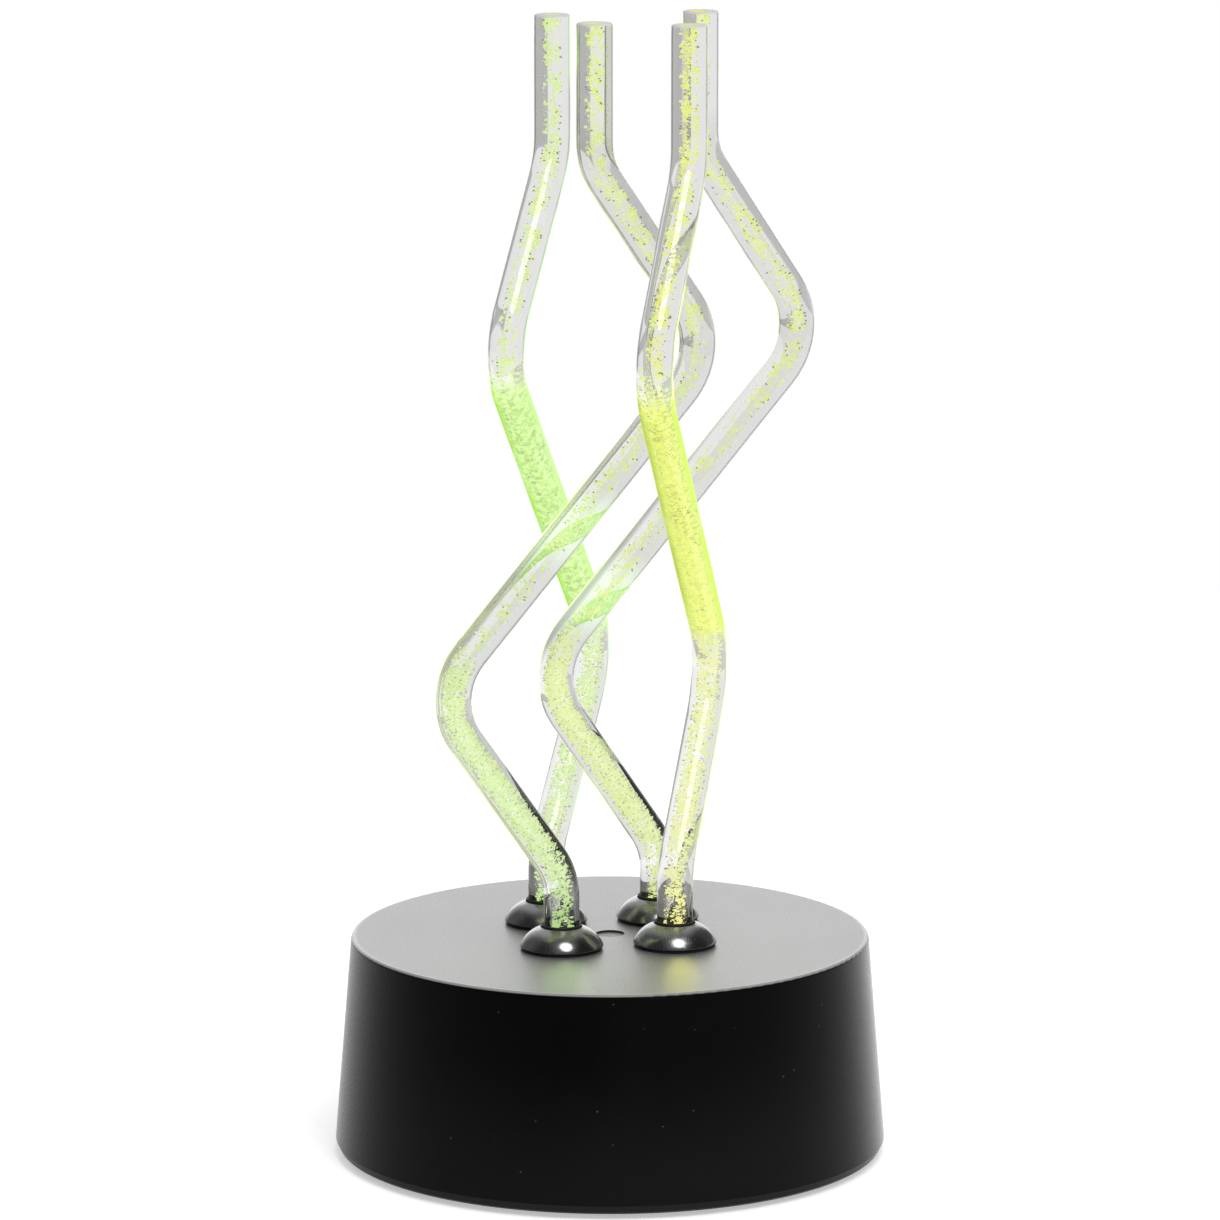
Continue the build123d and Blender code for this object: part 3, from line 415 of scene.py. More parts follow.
def bend_rod(corner):
    """Round rod that is extruded along its straight runs and spun round its bends."""
    route = rod_route(corner)
    bpy.ops.object.select_all(action="DESELECT")
    bpy.ops.mesh.primitive_circle_add(
        vertices=rod_segments, radius=rod_radius, fill_type="NGON", location=route[0]
    )
    rod = bpy.context.object
    rod.name = f"bubble_rod_{corner}"
    bpy.ops.object.transform_apply(location=True, rotation=True, scale=True)
    bpy.ops.object.mode_set(mode="EDIT")
    bpy.ops.mesh.select_all(action="SELECT")
    here = route[0]
    for bend in rod_bends(route):
        bpy.ops.mesh.extrude_region_move(TRANSFORM_OT_translate={"value": bend["start"] - here})
        steps = round(math.degrees(bend["turn"]) / degrees_per_step)
        bpy.ops.mesh.spin(steps=steps, angle=-bend["turn"], center=bend["centre"], axis=bend["axis"])
        here = bend["end"]
    top = route[-1]
    below_chamfer = top - Vector((0, 0, top_chamfer))
    bpy.ops.mesh.extrude_region_move(TRANSFORM_OT_translate={"value": below_chamfer - here})
    bpy.ops.mesh.extrude_region_move(TRANSFORM_OT_translate={"value": top - below_chamfer})
    shrunk = 1 - top_chamfer / rod_radius
    bpy.ops.transform.resize(value=(shrunk, shrunk, 1), center_override=top)
    bpy.ops.mesh.select_all(action="SELECT")
    bpy.ops.mesh.normals_make_consistent(inside=False)
    bpy.ops.object.mode_set(mode="OBJECT")
    bpy.ops.object.shade_smooth_by_angle(angle=math.radians(30))
    return rod


lit_runs = {
    "front_right": {
        "low": 0.1405,
        "tint_and_painted_light": (0.60, 0.665, 0.18, 1),
        "glow": (0.88, 0.89, 0.32, 1),
        "left_edge": (0.44, 0.60, 0.03, 1),
        "right_edge": (0.62, 0.95, 0.09, 1),
    },
    "rear_left": {
        "low": 0.1380,
        "tint_and_painted_light": (0.23, 0.32, 0.14, 1),
        "glow": (1.60, 2.20, 0.95, 1),
        "left_edge": (0.38, 0.78, 0.03, 1),
        "right_edge": (0.58, 0.96, 0.28, 1),
    },
}
lit_run_high = 0.2150
crossing_heights = {"front_left": 0.175, "rear_right": 0.152}
crossing_reach, crossing_core = 0.012, 0.003
crossing_glow = (1.0, 1.8, 0.6, 1)
fringe_sides = {"front_left": -1, "front_right": 1, "rear_left": 1, "rear_right": -1}
fringe_colours = {
    "front_left": (0.55, 0.85, 0.10, 1),
    "front_right": (0.72, 0.95, 0.05, 1),
    "rear_left": (0.32, 0.95, 0.08, 1),
    "rear_right": (0.60, 0.85, 0.10, 1),
}
fringe_start = (0.076, 0.094)
leaning_start, leaning_end = (0.128, 0.140), (0.287, 0.275)
no_light = (0, 0, 0, 1)
clear_tint = (0.82, 0.82, 0.815, 1)
leaning_shade_grey = (0.725, 0.725, 0.715, 1)
edge_black = (0.01, 0.01, 0.01, 1)
sawn_grey = (0.60, 0.60, 0.58, 1)
sawn_core_glow = {
    "front_left": (0.72, 0.80, 0.30, 1),
    "front_right": (0.80, 0.76, 0.14, 1),
    "rear_left": (0.66, 0.80, 0.34, 1),
    "rear_right": (0.86, 0.84, 0.08, 1),
}
sawn_core_edge = (0.0034, 0.0022)
rod_top = first_bend_height + sum(zigzag_rises) + rise_to_top


def acrylic_finish(corner):
    """Clear acrylic, with the light along a rod painted on as glow at its edges and in the lit middle run of
    two.
    """
    material, place, shader = new_finish(f"clear_acrylic_{corner}")
    tree = material.node_tree
    height = place.part("Z")
    normal = place.add("ShaderNodeNewGeometry", None, None, "Normal")
    rightward = normal.part("X")
    upward = normal.part("Z")
    patches = place.noise(36, 2.0).between(0.36, 0.58)
    outward = (rightward * fringe_sides[corner]).between(0.0, 0.5)
    from_foot = height.between(*fringe_start) * 0.88 + 0.07
    # Painted glow along one edge of each rod, on the side that fringe_sides gives.
    fringe = place.grazing().between(0.50, 0.9) * patches * outward * from_foot
    glow = fringe.mix(no_light, fringe_colours[corner])
    # Painted glow at the height where a lit run of another rod stands behind this one.
    if corner in crossing_heights:
        crossing = crossing_heights[corner]
        caught = height.between(crossing - crossing_reach, crossing - crossing_core)
        caught = caught * height.between(crossing + crossing_reach, crossing + crossing_core)
        glow = (caught * 0.07).mix(glow, crossing_glow)
    clear = Shade(tree, shader.outputs[0])
    # Lit middle run: painted light between two heights, as glow, a green base colour and coloured edges.
    if corner in lit_runs:
        run = lit_runs[corner]
        ragged = height + place.noise(350, 2.0) * 0.006 - 0.003
        lit = ragged.between(run["low"] - 0.003, run["low"] + 0.004)
        lit = lit * ragged.between(lit_run_high + 0.004, lit_run_high - 0.004)
        tint_and_painted_light = lit.mix(clear_tint, run["tint_and_painted_light"])
        foam = place.noise(700, 3.0, 0.6).between(0.3, 0.7) * 0.18 + 0.08
        glow = (lit * foam).mix(glow, run["glow"])
        lit_edge = place.add("ShaderNodeBsdfPrincipled")
        set_sockets(
            lit_edge.socket.node,
            Base_Color=edge_black,
            Roughness=0.4,
            IOR=1.01,
            Emission_Color=rightward.between(-0.4, 0.4).mix(run["left_edge"], run["right_edge"]),
            Emission_Strength=1.0,
        )
        band = lit * place.grazing().between(0.36, 0.76) * (patches * 0.40 + 0.42)
        clear = band.add("ShaderNodeMixShader", None, {0: band, 1: clear, 2: lit_edge})
    else:
        # Painted shade: the leaning runs of the unlit rods are painted greyer than their upright runs.
        leaning_shade = height.between(*leaning_start) * height.between(*leaning_end)
        tint_and_painted_light = leaning_shade.mix(clear_tint, leaning_shade_grey)
    set_sockets(
        shader,
        Base_Color=tint_and_painted_light,
        Roughness=0.0,
        IOR=1.49,
        Transmission_Weight=1.0,
        Emission_Color=glow,
        Emission_Strength=1.0,
    )
    # The sawn end is matte grey, with a painted glow of the bubble core in its middle.
    sawn = upward.between(0.3, 0.6) * height.between(rod_top - 0.002, rod_top - 0.001)
    middle = rod_route(corner)[-1]
    from_middle = place.add("ShaderNodeVectorMath", {"operation": "DISTANCE"}, {0: place, 1: middle}, 1)
    core = from_middle.between(*sawn_core_edge) * place.noise(900, 2.0).between(0.35, 0.6)
    end_colour = core.mix(sawn_grey, sawn_core_glow[corner])
    sawn_end = place.add("ShaderNodeBsdfPrincipled")
    set_sockets(sawn_end.socket.node, Base_Color=end_colour, Roughness=0.9, IOR=1.01)
    surface = sawn.add("ShaderNodeMixShader", None, {0: sawn, 1: clear, 2: sawn_end})
    tree.links.new(surface.socket, tree.nodes["Material Output"].inputs["Surface"])
    material.cycles.emission_sampling = "NONE"
    return material


for corner in corners:
    rod = bend_rod(corner)
    rod.data.materials.append(acrylic_finish(corner))
    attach(rod, "lamp")
    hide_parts(f"rod_{corner}")

# Bubbles: air bells seeded along the core of each rod while it was cast. They catch the light from the LED
# below, so most of them shine and a few on the shaded side stay dark.
core_radius = 0.00165
small_bubbles = (0.00008, 0.00016)
large_bubbles = (0.00020, 0.00038)
bubble_zones = {
    "foot": {"count": 680, "crowd": 0.20, "large": 1.3, "spread": 1.2, "shaded": 0.20, "shade": 0.0},
    "low": {"count": 4700, "crowd": 0.62, "large": 0.9, "spread": 1.3, "shaded": 0.15, "shade": 0.10},
    "clear": {"count": 1800, "crowd": 0.0, "large": 1.2, "spread": 1.0, "shaded": 0.09, "shade": 0.05},
    "lit": {"count": 3600, "crowd": 0.90, "large": 0.5, "spread": 1.6, "shaded": 0.11, "shade": 0.10},
    "top": {"count": 2700, "crowd": 0.02, "large": 1.3, "spread": 1.0, "shaded": 0.11, "shade": 0.04},
}
fewer_low_bubbles = 2000
foot_zone_high, low_zone_high, top_zone_low = 0.084, 0.138, 0.217
zone_blur = 0.007
bubbled_share = (0.07, 0.998)
clumps_along, clumps_across, clump_shift = 78, 1.2, 7
least_shine, lit_shine, full_shine = 0.25, 0.8, 1.0
shaded_size = 0.7
first_seed = 40
aslant = Vector((0.31, 0.95, 0.05))
bubble_colours = {
    "front_left": ((0.58, 0.81, 0.33, 1), (0.70, 0.83, 0.18, 1)),
    "front_right": ((0.86, 0.86, 0.36, 1), (0.80, 0.83, 0.10, 1)),
    "rear_left": ((0.60, 0.82, 0.38, 1), (0.62, 0.82, 0.26, 1)),
    "rear_right": ((0.69, 0.81, 0.32, 1), (0.78, 0.84, 0.15, 1)),
}
foot_bubbles = {
    "front_left": (0.34, 0.56, 0.17, 1),
    "front_right": (0.92, 0.86, 0.24, 1),
    "rear_left": (0.50, 0.80, 0.24, 1),
    "rear_right": (0.72, 0.82, 0.24, 1),
}
pale_bubble = (0.78, 0.87, 0.50, 1)
shaded_bubble = (0.15, 0.17, 0.10, 1)
dull_wall, bright_wall = (0.03, 0.03, 0.03, 1), (0.06, 0.07, 0.05, 1)
high_colour_level, foot_colour_level = (0.09, 0.23), (0.068, 0.084)


def place_along(route, share):
    """Point at a share of a rod's length, with two directions across the rod there."""
    stretches = []
    here = route[0]
    for bend in rod_bends(route):
        stretches.append(("run", (bend["start"] - here).length, here, bend["start"]))
        stretches.append(("bend", bend_radius * bend["turn"], bend, None))
        here = bend["end"]
    stretches.append(("run", (route[-1] - here).length, here, route[-1]))
    left = share * sum(stretch[1] for stretch in stretches)
    for kind, length, first, second in stretches:
        if left <= length:
            break
        left -= length
    if kind == "run":
        ahead = (second - first).normalized()
        point = first + ahead * left
    else:
        turned = Matrix.Rotation(left / bend_radius, 3, first["axis"])
        point = first["centre"] + turned @ (first["start"] - first["centre"])
        ahead = first["axis"].cross(point - first["centre"]).normalized()
    across = ahead.cross(aslant).normalized()
    return point, across, ahead.cross(across)


def zone_at(corner, height):
    """Name of the zone of a rod that a height lies in."""
    if height < foot_zone_high:
        return "foot"
    if height > top_zone_low:
        return "top"
    if corner in lit_runs:
        return "low" if height < lit_runs[corner]["low"] else "lit"
    return "low" if height < low_zone_high else "clear"


def bubble_form(add_primitive, **settings):
    """Points and faces of one bubble of radius 1, drawn out a little as they are in a cast rod."""
    bpy.ops.object.select_all(action="DESELECT")
    add_primitive(radius=1.0, **settings)
    bubble = bpy.context.object
    bpy.ops.object.mode_set(mode="EDIT")
    bpy.ops.mesh.select_all(action="SELECT")
    bpy.ops.transform.resize(value=(1.0, 1.0, 1.15))
    bpy.ops.object.mode_set(mode="OBJECT")
    form = (
        [vertex.co.copy() for vertex in bubble.data.vertices],
        [tuple(face.vertices) for face in bubble.data.polygons],
    )
    bpy.data.objects.remove(bubble)
    return form


large_form = bubble_form(bpy.ops.mesh.primitive_ico_sphere_add, subdivisions=1)
small_form = bubble_form(bpy.ops.mesh.primitive_uv_sphere_add, segments=4, ring_count=2)

for number, corner in enumerate(corners):
    chance = random.Random(first_seed + number)
    route = rod_route(corner)
    points, faces, shines = [], [], []
    made = dict.fromkeys(bubble_zones, 0)
    if corner in lit_runs:
        made["clear"] = bubble_zones["clear"]["count"]
        made["low"] = fewer_low_bubbles
    else:
        made["lit"] = bubble_zones["lit"]["count"]
    while any(made[name] < zone["count"] for name, zone in bubble_zones.items()):
        share = chance.uniform(*bubbled_share)
        angle = chance.uniform(0, 2 * math.pi)
        spread = math.sqrt(chance.random())
        point, across, sideways = place_along(route, share)
        name = zone_at(corner, point.z + chance.uniform(-zone_blur, zone_blur))
        zone = bubble_zones[name]
        if made[name] >= zone["count"]:
            continue
        spot = Vector((
            share * clumps_along,
            math.cos(angle) * clumps_across * spread,
            math.sin(angle) * clumps_across * spread,
        ))
        crowd = noise.noise(spot + Vector((0, number * clump_shift, 0))) + zone["crowd"]
        if crowd < 0:
            continue
        large = chance.random() < crowd * zone["large"]
        form_points, form_faces = large_form if large else small_form
        size = chance.uniform(*(large_bubbles if large else small_bubbles))
        shine = chance.uniform(least_shine, lit_shine if name == "lit" else full_shine)
        if chance.random() < zone["shaded"]:
            shine = zone["shade"]
            size *= shaded_size
            spread = 1.0
        axis = Vector((chance.random(), chance.random(), 1)).normalized()
        turned = Matrix.Rotation(chance.uniform(0, math.pi), 3, axis) * size
        outward = across * math.cos(angle) + sideways * math.sin(angle)
        centre = point + outward * core_radius * zone["spread"] * spread
        first = len(points)
        points.extend(centre + turned @ form_point for form_point in form_points)
        faces.extend(tuple(first + index for index in face) for face in form_faces)
        shines.extend([shine] * len(form_points))
        made[name] += 1
    bubbles = bpy.data.objects.new(f"bubbles_{corner}", bpy.data.meshes.new(f"bubbles_{corner}"))
    bubbles.data.from_pydata(points, [], faces)
    bubbles.data.attributes.new("glow", "FLOAT", "POINT").data.foreach_set("value", shines)
    bpy.context.scene.collection.objects.link(bubbles)
    bubbles.data.shade_smooth()
    finish, place, shader = new_finish(f"lit_bubbles_{corner}")
    height = place.part("Z")
    shine = place.add("ShaderNodeAttribute", {"attribute_name": "glow"}, None, "Fac")
    low_colour, high_colour = bubble_colours[corner]
    colour = height.between(*high_colour_level).mix(low_colour, high_colour)
    colour = shine.between(0.2, 1.0).mix(pale_bubble, colour)
    colour = (height.between(*foot_colour_level) * 0.7 + 0.3).mix(foot_bubbles[corner], colour)
    set_sockets(
        shader,
        Base_Color=shine.mix(dull_wall, bright_wall),
        Roughness=0.3,
        Emission_Color=shine.between(0.0, 0.2).mix(shaded_bubble, colour),
        Emission_Strength=1.08,
    )
    finish.cycles.emission_sampling = "NONE"
    bubbles.data.materials.append(finish)
    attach(bubbles, "lamp")

# LEDs: 5 mm lenses of epoxy, cast round their chips and soldered to the driver board. Each stands under the
# foot of a rod and lights it in that rod's own green or yellow-green.
led_white = (1, 1, 0.9, 1)
for corner in corners:
    finish, place, shader = new_finish(f"led_epoxy_{corner}")
    swirl = place.noise(500, 2.0)
    led_colour = bubble_colours[corner][0]
    set_sockets(
        shader,
        Base_Color=led_colour,
        Roughness=swirl * 0.1 + 0.02,
        Emission_Color=swirl.between(0.2, 0.6).mix(led_colour, led_white),
        Emission_Strength=2.0,
    )
    dress(finish, f"led_{corner}")

# Driver board: glass-fibre laminate with copper tracks under green solder mask, screwed to four posts of the
# shell. Soldered on it are a chip and resistors moulded in black epoxy, and a capacitor in a bare metal can.
mask_green, track_green = (0.012, 0.10, 0.035, 1), (0.04, 0.22, 0.07, 1)
epoxy_black, epoxy_grey = (0.012, 0.012, 0.013, 1), (0.05, 0.05, 0.05, 1)
can_dull, can_bright = (0.45, 0.45, 0.46, 1), (0.68, 0.68, 0.69, 1)
solder_mask, place, shader = new_finish("green_solder_mask")
tracks = place.noise(120, 1.0).between(0.49, 0.50)
tracks = tracks - place.noise(120, 1.0).between(0.52, 0.53)
weave = place.noise(1500, 2.0)
set_sockets(
    shader,
    Base_Color=tracks.mix(mask_green, track_green),
    Roughness=weave * 0.2 + 0.2,
    Normal=bump(tracks, 0.3, 0.00004),
)
dress(solder_mask, "led_board")
chip_epoxy, place, shader = new_finish("chip_epoxy")
grain = place.noise(4000, 2.0)
set_sockets(
    shader,
    Base_Color=grain.mix(epoxy_black, epoxy_grey),
    Roughness=grain * 0.2 + 0.5,
)
dress(chip_epoxy, "controller_chip", "board_resistors")
can_metal, place, shader = new_finish("bare_can")
streaks = place.noise(900, 3.0, 0.6, stretch=(1.0, 1.0, 0.08))
set_sockets(
    shader,
    Base_Color=streaks.mix(can_dull, can_bright),
    Metallic=1.0,
    Roughness=streaks * 0.25 + 0.2,
)
dress(can_metal, "board_capacitor")

# Nuts of the bezels, screws of the board and contacts of the battery bay: steel with bright nickel plate.
# The contacts are bent from strip and stand on the end walls of the bay.
nickel_dull, nickel_bright = (0.50, 0.48, 0.45, 1), (0.75, 0.73, 0.69, 1)
nickel, place, shader = new_finish("bright_nickel")
brushed = place.noise(700, 4.0, 0.6, stretch=(0.2, 1.0, 1.0))
set_sockets(
    shader,
    Base_Color=brushed.mix(nickel_dull, nickel_bright),
    Metallic=1.0,
    Roughness=brushed * 0.25 + 0.15,
    Normal=bump(brushed, 0.08, 0.00005),
)
dress(
    nickel, "bezel_nuts", "board_screws",
    "battery_contact_positive", "battery_contact_negative", "battery_bridges",
)

# Cover screws: four self-tapping steel screws with round-edged heads, sunk in wells of the cover and driven
# up into bosses of the shell. A head is a turned disc, and its cross recess is cut with two tapered bars.
screw_circle = 0.05915
screw_segments = 40
head_radius, head_face, head_top = 0.00275, 0.0025, 0.0045
shank_radius, shank_top = 0.00145, 0.0145
tip_length, tip_share = 0.0022, 0.55
thread_pitch, thread_root = 0.0010, 0.80
root_start, root_end = 0.0004, 0.0007
edge_break = 0.0001
recess_length, recess_width, recess_depth = 0.0030, 0.0007, 0.0012
recess_turn, recess_taper = 0.4, 0.6


def screw_place(number):
    """Place on the screws' circle of one of the four."""
    angle = math.pi / 4 + number * math.pi / 2
    return Vector((screw_circle * math.cos(angle), screw_circle * math.sin(angle), 0))


first_screw = screw_place(0)
screw_profile = [
    (edge_break, shank_top),
    (shank_radius * tip_share, shank_top - 0.0002),
    (shank_radius, shank_top - tip_length),
]
thread_height = shank_top - tip_length
while thread_height - thread_pitch > head_top:
    screw_profile.append((shank_radius * thread_root, thread_height - root_start))
    screw_profile.append((shank_radius * thread_root, thread_height - root_end))
    screw_profile.append((shank_radius, thread_height - thread_pitch))
    thread_height -= thread_pitch
screw_profile += [
    (shank_radius, head_top),
    (head_radius - edge_break, head_top),
    (head_radius, head_top - edge_break),
    (head_radius, head_face + 0.0005),
    (head_radius - 0.00015, head_face + 0.0002),
    (head_radius - 0.0006, head_face),
    (edge_break, head_face),
    (edge_break, shank_top),
]
screw = turn_piece("cover_screw_1", first_screw, screw_profile, screw_segments)
recess_bars = []
for bar_turn in (0, math.pi / 2):
    bpy.ops.object.select_all(action="DESELECT")
    bpy.ops.mesh.primitive_cube_add(size=1.0, location=(first_screw.x, first_screw.y, head_face))
    bar = bpy.context.object
    bar.scale = (recess_length, recess_width, recess_depth * 2)
    bar.rotation_euler = (0, 0, bar_turn + recess_turn)
    bpy.ops.object.transform_apply(location=True, rotation=True, scale=True)
    bpy.ops.object.mode_set(mode="EDIT")
    bpy.ops.mesh.select_all(action="DESELECT")
    bpy.ops.object.mode_set(mode="OBJECT")
    for face in bar.data.polygons:
        face.select = face.normal.z > 0.9
    bpy.ops.object.mode_set(mode="EDIT")
    bpy.ops.transform.resize(
        value=(recess_taper, recess_taper, 1), center_override=(first_screw.x, first_screw.y, 0)
    )
    bpy.ops.object.mode_set(mode="OBJECT")
    recess_bars.append(bar)
for bar in recess_bars:
    bpy.ops.object.select_all(action="DESELECT")
    screw.select_set(True)
    bpy.context.view_layer.objects.active = screw
    cut = screw.modifiers.new("recess", "BOOLEAN")
    cut.operation = "DIFFERENCE"
    cut.solver = "EXACT"
    cut.object = bar
    bpy.ops.object.modifier_apply(modifier=cut.name)
    bpy.data.objects.remove(bar)
bpy.ops.object.shade_smooth_by_angle(angle=math.radians(32))
screw.data.materials.append(nickel)
screws = [screw]
for number in (1, 2, 3):
    screws.append(copy_piece(screw, f"cover_screw_{number + 1}", screw_place(number) - first_screw))
for screw in screws:
    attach(screw, "lamp")
    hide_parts("cover_screws")

# Cells: three AA cells that lie side by side in the bay. Each is a steel can in a plain dark jacket, which is
# shrunk on and leaves a bare silver ring at each end.
jacket_end = (0.0226, 0.0229)
jacket_dark, can_silver = (0.03, 0.035, 0.045, 1), (0.6, 0.6, 0.6, 1)
jacket, place, shader = new_finish("cell_jacket")
along = place.part("X")
ends = along.math("ABSOLUTE", along).between(*jacket_end)
sheen = place.noise(300, 2.0)
set_sockets(
    shader,
    Base_Color=ends.mix(jacket_dark, can_silver),
    Metallic=ends * 0.9,
    Roughness=sheen * 0.2 + 0.2,
)
dress(jacket, "battery_cell_front", "battery_cell_middle", "battery_cell_rear")

# Rocker switch: a housing that snaps into the flat pocket at the back, and a rocker that tilts in it on two
# trunnions. Both are moulded in black nylon from a polished tool.
nylon_black, nylon_grey = (0.006, 0.006, 0.0065, 1), (0.014, 0.014, 0.014, 1)
nylon, place, shader = new_finish("polished_black_nylon")
flow = place.noise(350, 3.0)
set_sockets(
    shader,
    Base_Color=flow.mix(nylon_black, nylon_grey),
    Roughness=flow * 0.2 + 0.14,
    Normal=bump(flow, 0.04, 0.0001),
)
dress(nylon, "switch_housing", "switch_rocker")

# Marks on the rocker: a bar on the half that is pressed in when the lamp is on, and a ring on the other half,
# pad-printed in white and a hair proud of the nylon.
rocker_pivot = Vector((0, 0.07053176, 0.03195))
wing_angle = math.radians(11)
valley_height, wing_middle = 0.0022, 0.00265
mark_thickness = 0.00006
bar_width, bar_length, bar_bevel = 0.00055, 0.0026, 0.00003
ring_radius, ring_width = 0.00135, 0.00045
worn_white, fresh_white = (0.35, 0.35, 0.35, 1), (0.75, 0.75, 0.74, 1)


def wing_point(up):
    """Middle of a wing of the resting rocker, and the wing's outward normal. Up is 1 or -1."""
    out = valley_height + wing_middle * math.tan(wing_angle)
    rest = Matrix.Rotation(wing_angle, 3, "X")
    point = rocker_pivot + rest @ Vector((0, out, up * wing_middle))
    normal = rest @ Vector((0, math.cos(wing_angle), -up * math.sin(wing_angle)))
    return point, normal


print_white, place, shader = new_finish("printed_white")
wear = place.noise(2500, 3.0)
set_sockets(
    shader,
    Base_Color=wear.between(0.25, 0.5).mix(worn_white, fresh_white),
    Roughness=wear * 0.2 + 0.4,
)
bar_point, bar_normal = wing_point(1)
bpy.ops.object.select_all(action="DESELECT")
bpy.ops.mesh.primitive_cube_add(size=1.0)
on_mark = bpy.context.object
on_mark.name = "rocker_on_mark"
on_mark.scale = (bar_width, bar_length, mark_thickness * 2)
bpy.ops.object.transform_apply(scale=True)
bpy.ops.object.mode_set(mode="EDIT")
bpy.ops.mesh.select_all(action="SELECT")
bpy.ops.mesh.bevel(offset=bar_bevel, segments=2)
bpy.ops.object.mode_set(mode="OBJECT")
ring_point, ring_normal = wing_point(-1)
bpy.ops.object.select_all(action="DESELECT")
bpy.ops.mesh.primitive_circle_add(vertices=48, radius=ring_radius, fill_type="NGON")
off_mark = bpy.context.object
off_mark.name = "rocker_off_mark"
bpy.ops.object.mode_set(mode="EDIT")
bpy.ops.mesh.select_all(action="SELECT")
bpy.ops.mesh.inset(thickness=ring_width)
bpy.ops.mesh.delete(type="FACE")
bpy.ops.mesh.select_all(action="SELECT")
bpy.ops.mesh.solidify(thickness=-mark_thickness)
bpy.ops.mesh.normals_make_consistent(inside=False)
bpy.ops.object.mode_set(mode="OBJECT")
rightward = Vector((1, 0, 0))
for mark, point, normal in ((on_mark, bar_point, bar_normal), (off_mark, ring_point, ring_normal)):
    upward = rightward.cross(normal) * -1
    turned = Matrix((rightward, upward, rightward.cross(upward))).transposed()
    mark.data.transform(Matrix.Translation(point) @ turned.to_4x4())
    mark.data.materials.append(print_white)
    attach(mark, "rocker")

# Switch terminals: two blades stamped from tinned brass, which come through the back of the switch's housing.
# The red leads are soldered to them.
brass, tin = (0.55, 0.46, 0.28, 1), (0.75, 0.70, 0.58, 1)
blades, place, shader = new_finish("tinned_brass")
streaks = place.noise(800, 3.0, stretch=(1.0, 0.2, 1.0))
set_sockets(
    shader,
    Base_Color=streaks.mix(brass, tin),
    Metallic=1.0,
    Roughness=streaks * 0.2 + 0.25,
)
dress(blades, "switch_terminals")

# Wires: stranded copper in soft PVC, soldered at both ends. Two red ones go from the cells to the switch and
# on to the board, and a black one goes from the board back to the cells.
for name, dark, pale, leads in (
    ("red_pvc", (0.28, 0.01, 0.01, 1), (0.5, 0.03, 0.02, 1), ("positive_lead", "switched_lead")),
    ("black_pvc", (0.008, 0.008, 0.008, 1), (0.025, 0.025, 0.025, 1), ("negative_lead",)),
):
    pvc, place, shader = new_finish(name)
    mottle = place.noise(400, 3.0)
    set_sockets(shader, Base_Color=mottle.mix(dark, pale), Roughness=mottle * 0.2 + 0.3)
    dress(pvc, *leads)

# Floor: a wide white sheet that the lamp stands on, and not a part of it. It shows near white to the camera,
# in gloss and through glass, apart from a grey ring seen through the rods and a grey left side seen in gloss.
floor_radius = 0.85
shaded_left = (0.05, 0.10)
ring_outside, ring_inside = (0.40, 0.26), (0.14, 0.20)
paper_white, paper_bright = (0.83, 0.83, 0.83, 1), (0.86, 0.86, 0.86, 1)
paper_grey = (0.50, 0.50, 0.50, 1)
paper_glow = (0.45, 0.45, 0.45, 1)


def rays_in(tree):
    """Masks of the rays that come from the camera, from gloss and through glass."""
    light_path = tree.nodes.new("ShaderNodeLightPath")
    names = ("Is Camera Ray", "Is Glossy Ray", "Is Transmission Ray")
    return [Shade(tree, light_path.outputs[name]) for name in names]


bpy.ops.object.select_all(action="DESELECT")
bpy.ops.mesh.primitive_circle_add(vertices=96, radius=floor_radius, fill_type="NGON", location=(0, 0, 0))
floor = bpy.context.object
floor.name = "floor"
paper, place, shader = new_finish("white_paper")
fibre = place.noise(30, 3.0)
camera_ray, glossy_ray, through_ray = rays_in(paper.node_tree)
from_lamp = place.add("ShaderNodeVectorMath", {"operation": "LENGTH"}, {0: place}, 1)
from_left = 0 - place.part("X")
shaded = glossy_ray * from_left.between(*shaded_left) * 0.8
ring = from_lamp.between(*ring_outside) * from_lamp.between(*ring_inside)
shaded = shaded.math("MAXIMUM", shaded, through_ray * ring)
seen = camera_ray.math("MAXIMUM", camera_ray, glossy_ray.math("MAXIMUM", glossy_ray, through_ray))
white = fibre.mix(paper_white, paper_bright)
set_sockets(
    shader,
    Base_Color=shaded.mix(white, paper_grey),
    Roughness=0.9,
    Emission_Color=(seen - shaded * 0.6).mix(no_light, paper_glow),
    Emission_Strength=1.0,
)
from_below = place.add("ShaderNodeNewGeometry", None, None, "Backfacing")
clear = place.add("ShaderNodeBsdfTransparent")
sheet = Shade(paper.node_tree, shader.outputs[0])
one_sided = from_below.add("ShaderNodeMixShader", None, {0: from_below, 1: sheet, 2: clear})
paper.node_tree.links.new(one_sided.socket, paper.node_tree.nodes["Material Output"].inputs["Surface"])
floor.data.materials.append(paper)

# Studio: a white room behind the lamp that dims towards the front and the sides, a softbox high in front and
# a broad backlight. Two small lamps in front of the domes throw the LEDs' colour on the top of the base.
view_across, view_depth, view_dip = 0.142, 0.971, 0.190
world = bpy.data.worlds.new("studio")
bpy.context.scene.world = world
world.use_nodes = True
tree = world.node_tree
background = tree.nodes["Background"]
camera_ray, glossy_ray, through_ray = rays_in(tree)
direction = Shade(tree).add("ShaderNodeTexCoord", output="Generated")
across, depth, rise = (direction.part(axis) for axis in "XYZ")
overhead = rise.between(0.02, 0.16)
dim_left = (0 - across).between(0.25, 0.60) * 0.75
dim_right = across.between(0.30, 0.60) * overhead * 0.85
room_in_metal = (depth.between(-0.2, 0.5) * 0.70 + 0.30) * (1 - dim_left) * (1 - dim_right)
flag = across.between(0.27, 0.32) * rise.between(-0.090, -0.100) * rise.between(-0.160, -0.148)
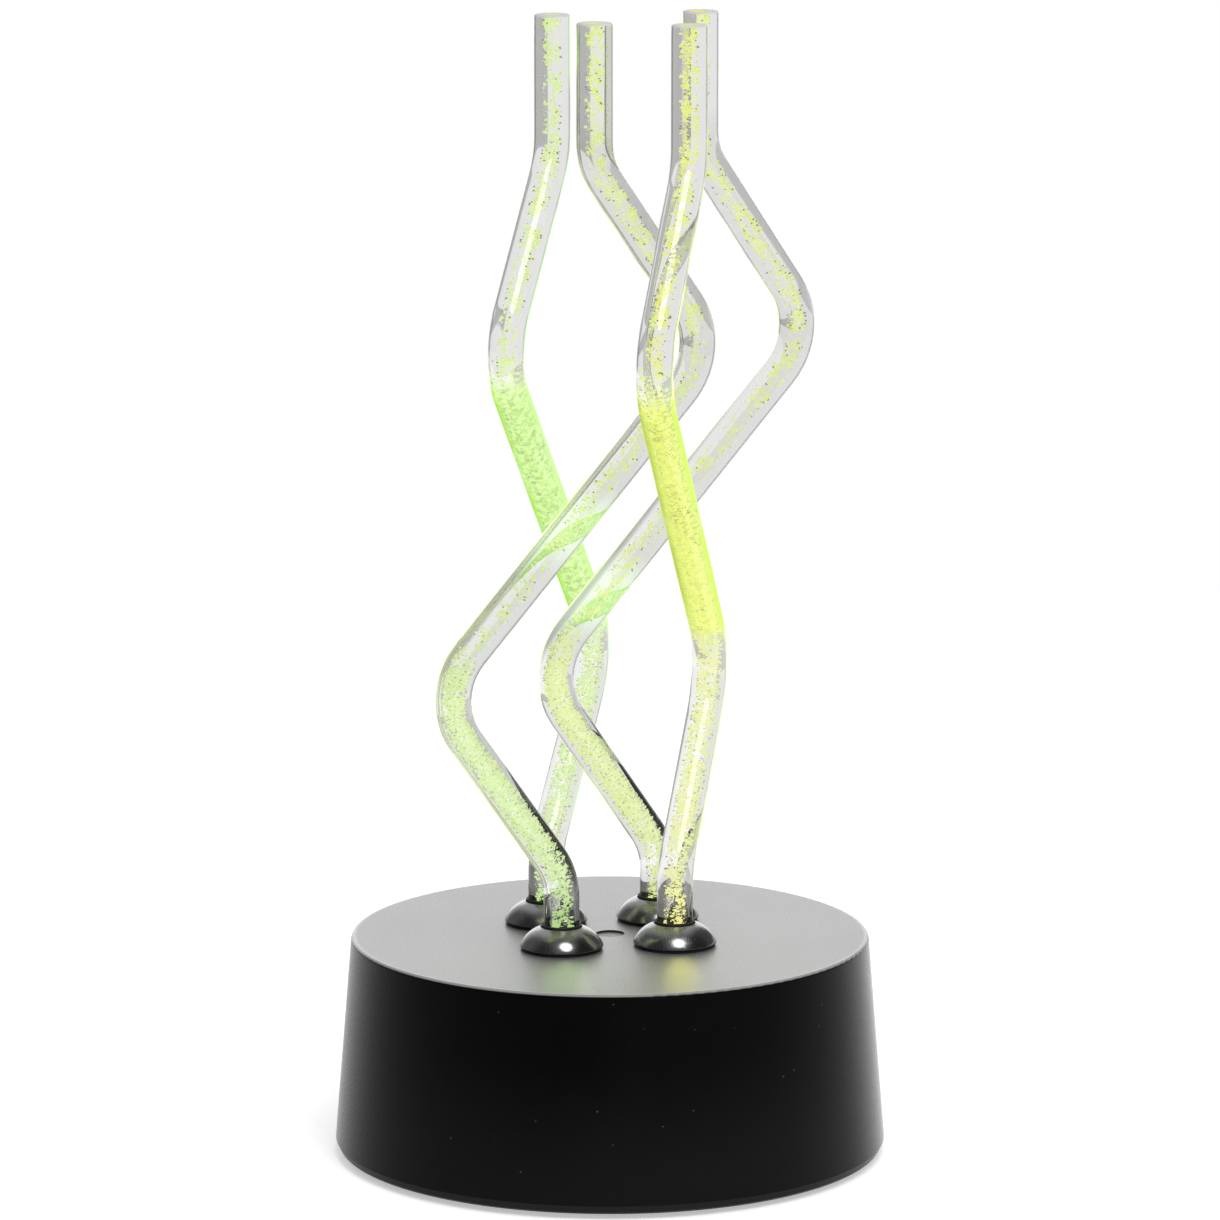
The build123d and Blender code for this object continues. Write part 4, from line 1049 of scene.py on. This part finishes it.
ahead = across * view_across + depth * view_depth - rise * view_dip
sides = ahead.between(0.66, 0.50)
room_in_glass = (1 - flag * 0.42) * (1 - sides * 0.62)
ambient = 0.70 - (0 - across).between(0.30, 0.80) * 0.42
seen_otherwise = glossy_ray * room_in_metal + (1 - glossy_ray) * ambient
seen_otherwise = through_ray * room_in_glass + (1 - through_ray) * seen_otherwise
strength = camera_ray + (1 - camera_ray) * seen_otherwise
background.inputs["Color"].default_value = (1, 1, 1, 1)
tree.links.new(strength.socket, background.inputs["Strength"])


def hang_lamp(name, shape, width, height, power, spot, turn):
    """Area lamp of that shape, size in metres and power in watts. Glass doesn't show it."""
    lamp = bpy.data.lights.new(name, "AREA")
    lamp.shape = shape
    lamp.size, lamp.size_y = width, height
    lamp.energy = power
    lamp_object = bpy.data.objects.new(name, lamp)
    bpy.context.scene.collection.objects.link(lamp_object)
    lamp_object.location = spot
    lamp_object.rotation_euler = turn
    lamp_object.visible_transmission = False
    return lamp_object


softbox_bearing, softbox_rise, softbox_distance = math.radians(-81), math.radians(56), 1.3
softbox_aim = Vector((0, 0, 0.12))
toward = Vector((
    math.cos(softbox_rise) * math.cos(softbox_bearing),
    math.cos(softbox_rise) * math.sin(softbox_bearing),
    math.sin(softbox_rise),
))
softbox_spot = softbox_aim + toward * softbox_distance
softbox_turn = toward.to_track_quat("Z", "Y").to_euler()
hang_lamp("softbox", "ELLIPSE", width=0.64, height=0.74, power=7.2, spot=softbox_spot, turn=softbox_turn)

facing_front = (-math.pi / 2, 0, 0)
backlight_spot = (0.42, 2.6, 0.82)
backlight = hang_lamp(
    "backlight", "RECTANGLE", width=2.1, height=1.6, power=9.8, spot=backlight_spot, turn=facing_front
)
backlight.visible_camera = False

foot_glow_colours = {"front_left": (0.56, 0.80, 0.36), "front_right": (0.84, 0.84, 0.16)}
foot_glow_widths = {"front_left": 0.014, "front_right": 0.010}
foot_glow_powers = {"front_left": 3.6, "front_right": 5.2}
foot_glow_height = 0.013
foot_glow_shift = Vector((0, -0.0118, 0.0686))
for corner in foot_glow_colours:
    width = foot_glow_widths[corner]
    power = foot_glow_powers[corner] * width * foot_glow_height
    spot = feet[corner] + foot_glow_shift
    foot_glow = hang_lamp(
        f"foot_glow_{corner}", "ELLIPSE", width, foot_glow_height, power, spot, facing_front
    )
    foot_glow.data.color = foot_glow_colours[corner]
    foot_glow.visible_camera = False

# Camera: a long lens on the photograph's line of view, from slightly above the lamp and a little to its left.
camera = bpy.data.cameras.new("camera")
camera.sensor_width = 36.0
camera.lens = 211.4
camera.clip_end = 50.0
camera_object = bpy.data.objects.new("camera", camera)
bpy.context.scene.collection.objects.link(camera_object)
camera_turn, camera_dip = math.radians(8.33), math.radians(10.82)
camera_distance, camera_height = 1.8999, 0.5128
camera_object.location = (
    -camera_distance * math.sin(camera_turn), -camera_distance * math.cos(camera_turn), camera_height
)
camera_object.rotation_euler = (math.pi / 2 - camera_dip, 0, -camera_turn)
bpy.context.scene.camera = camera_object
bpy.context.scene.view_settings.view_transform = "Standard"
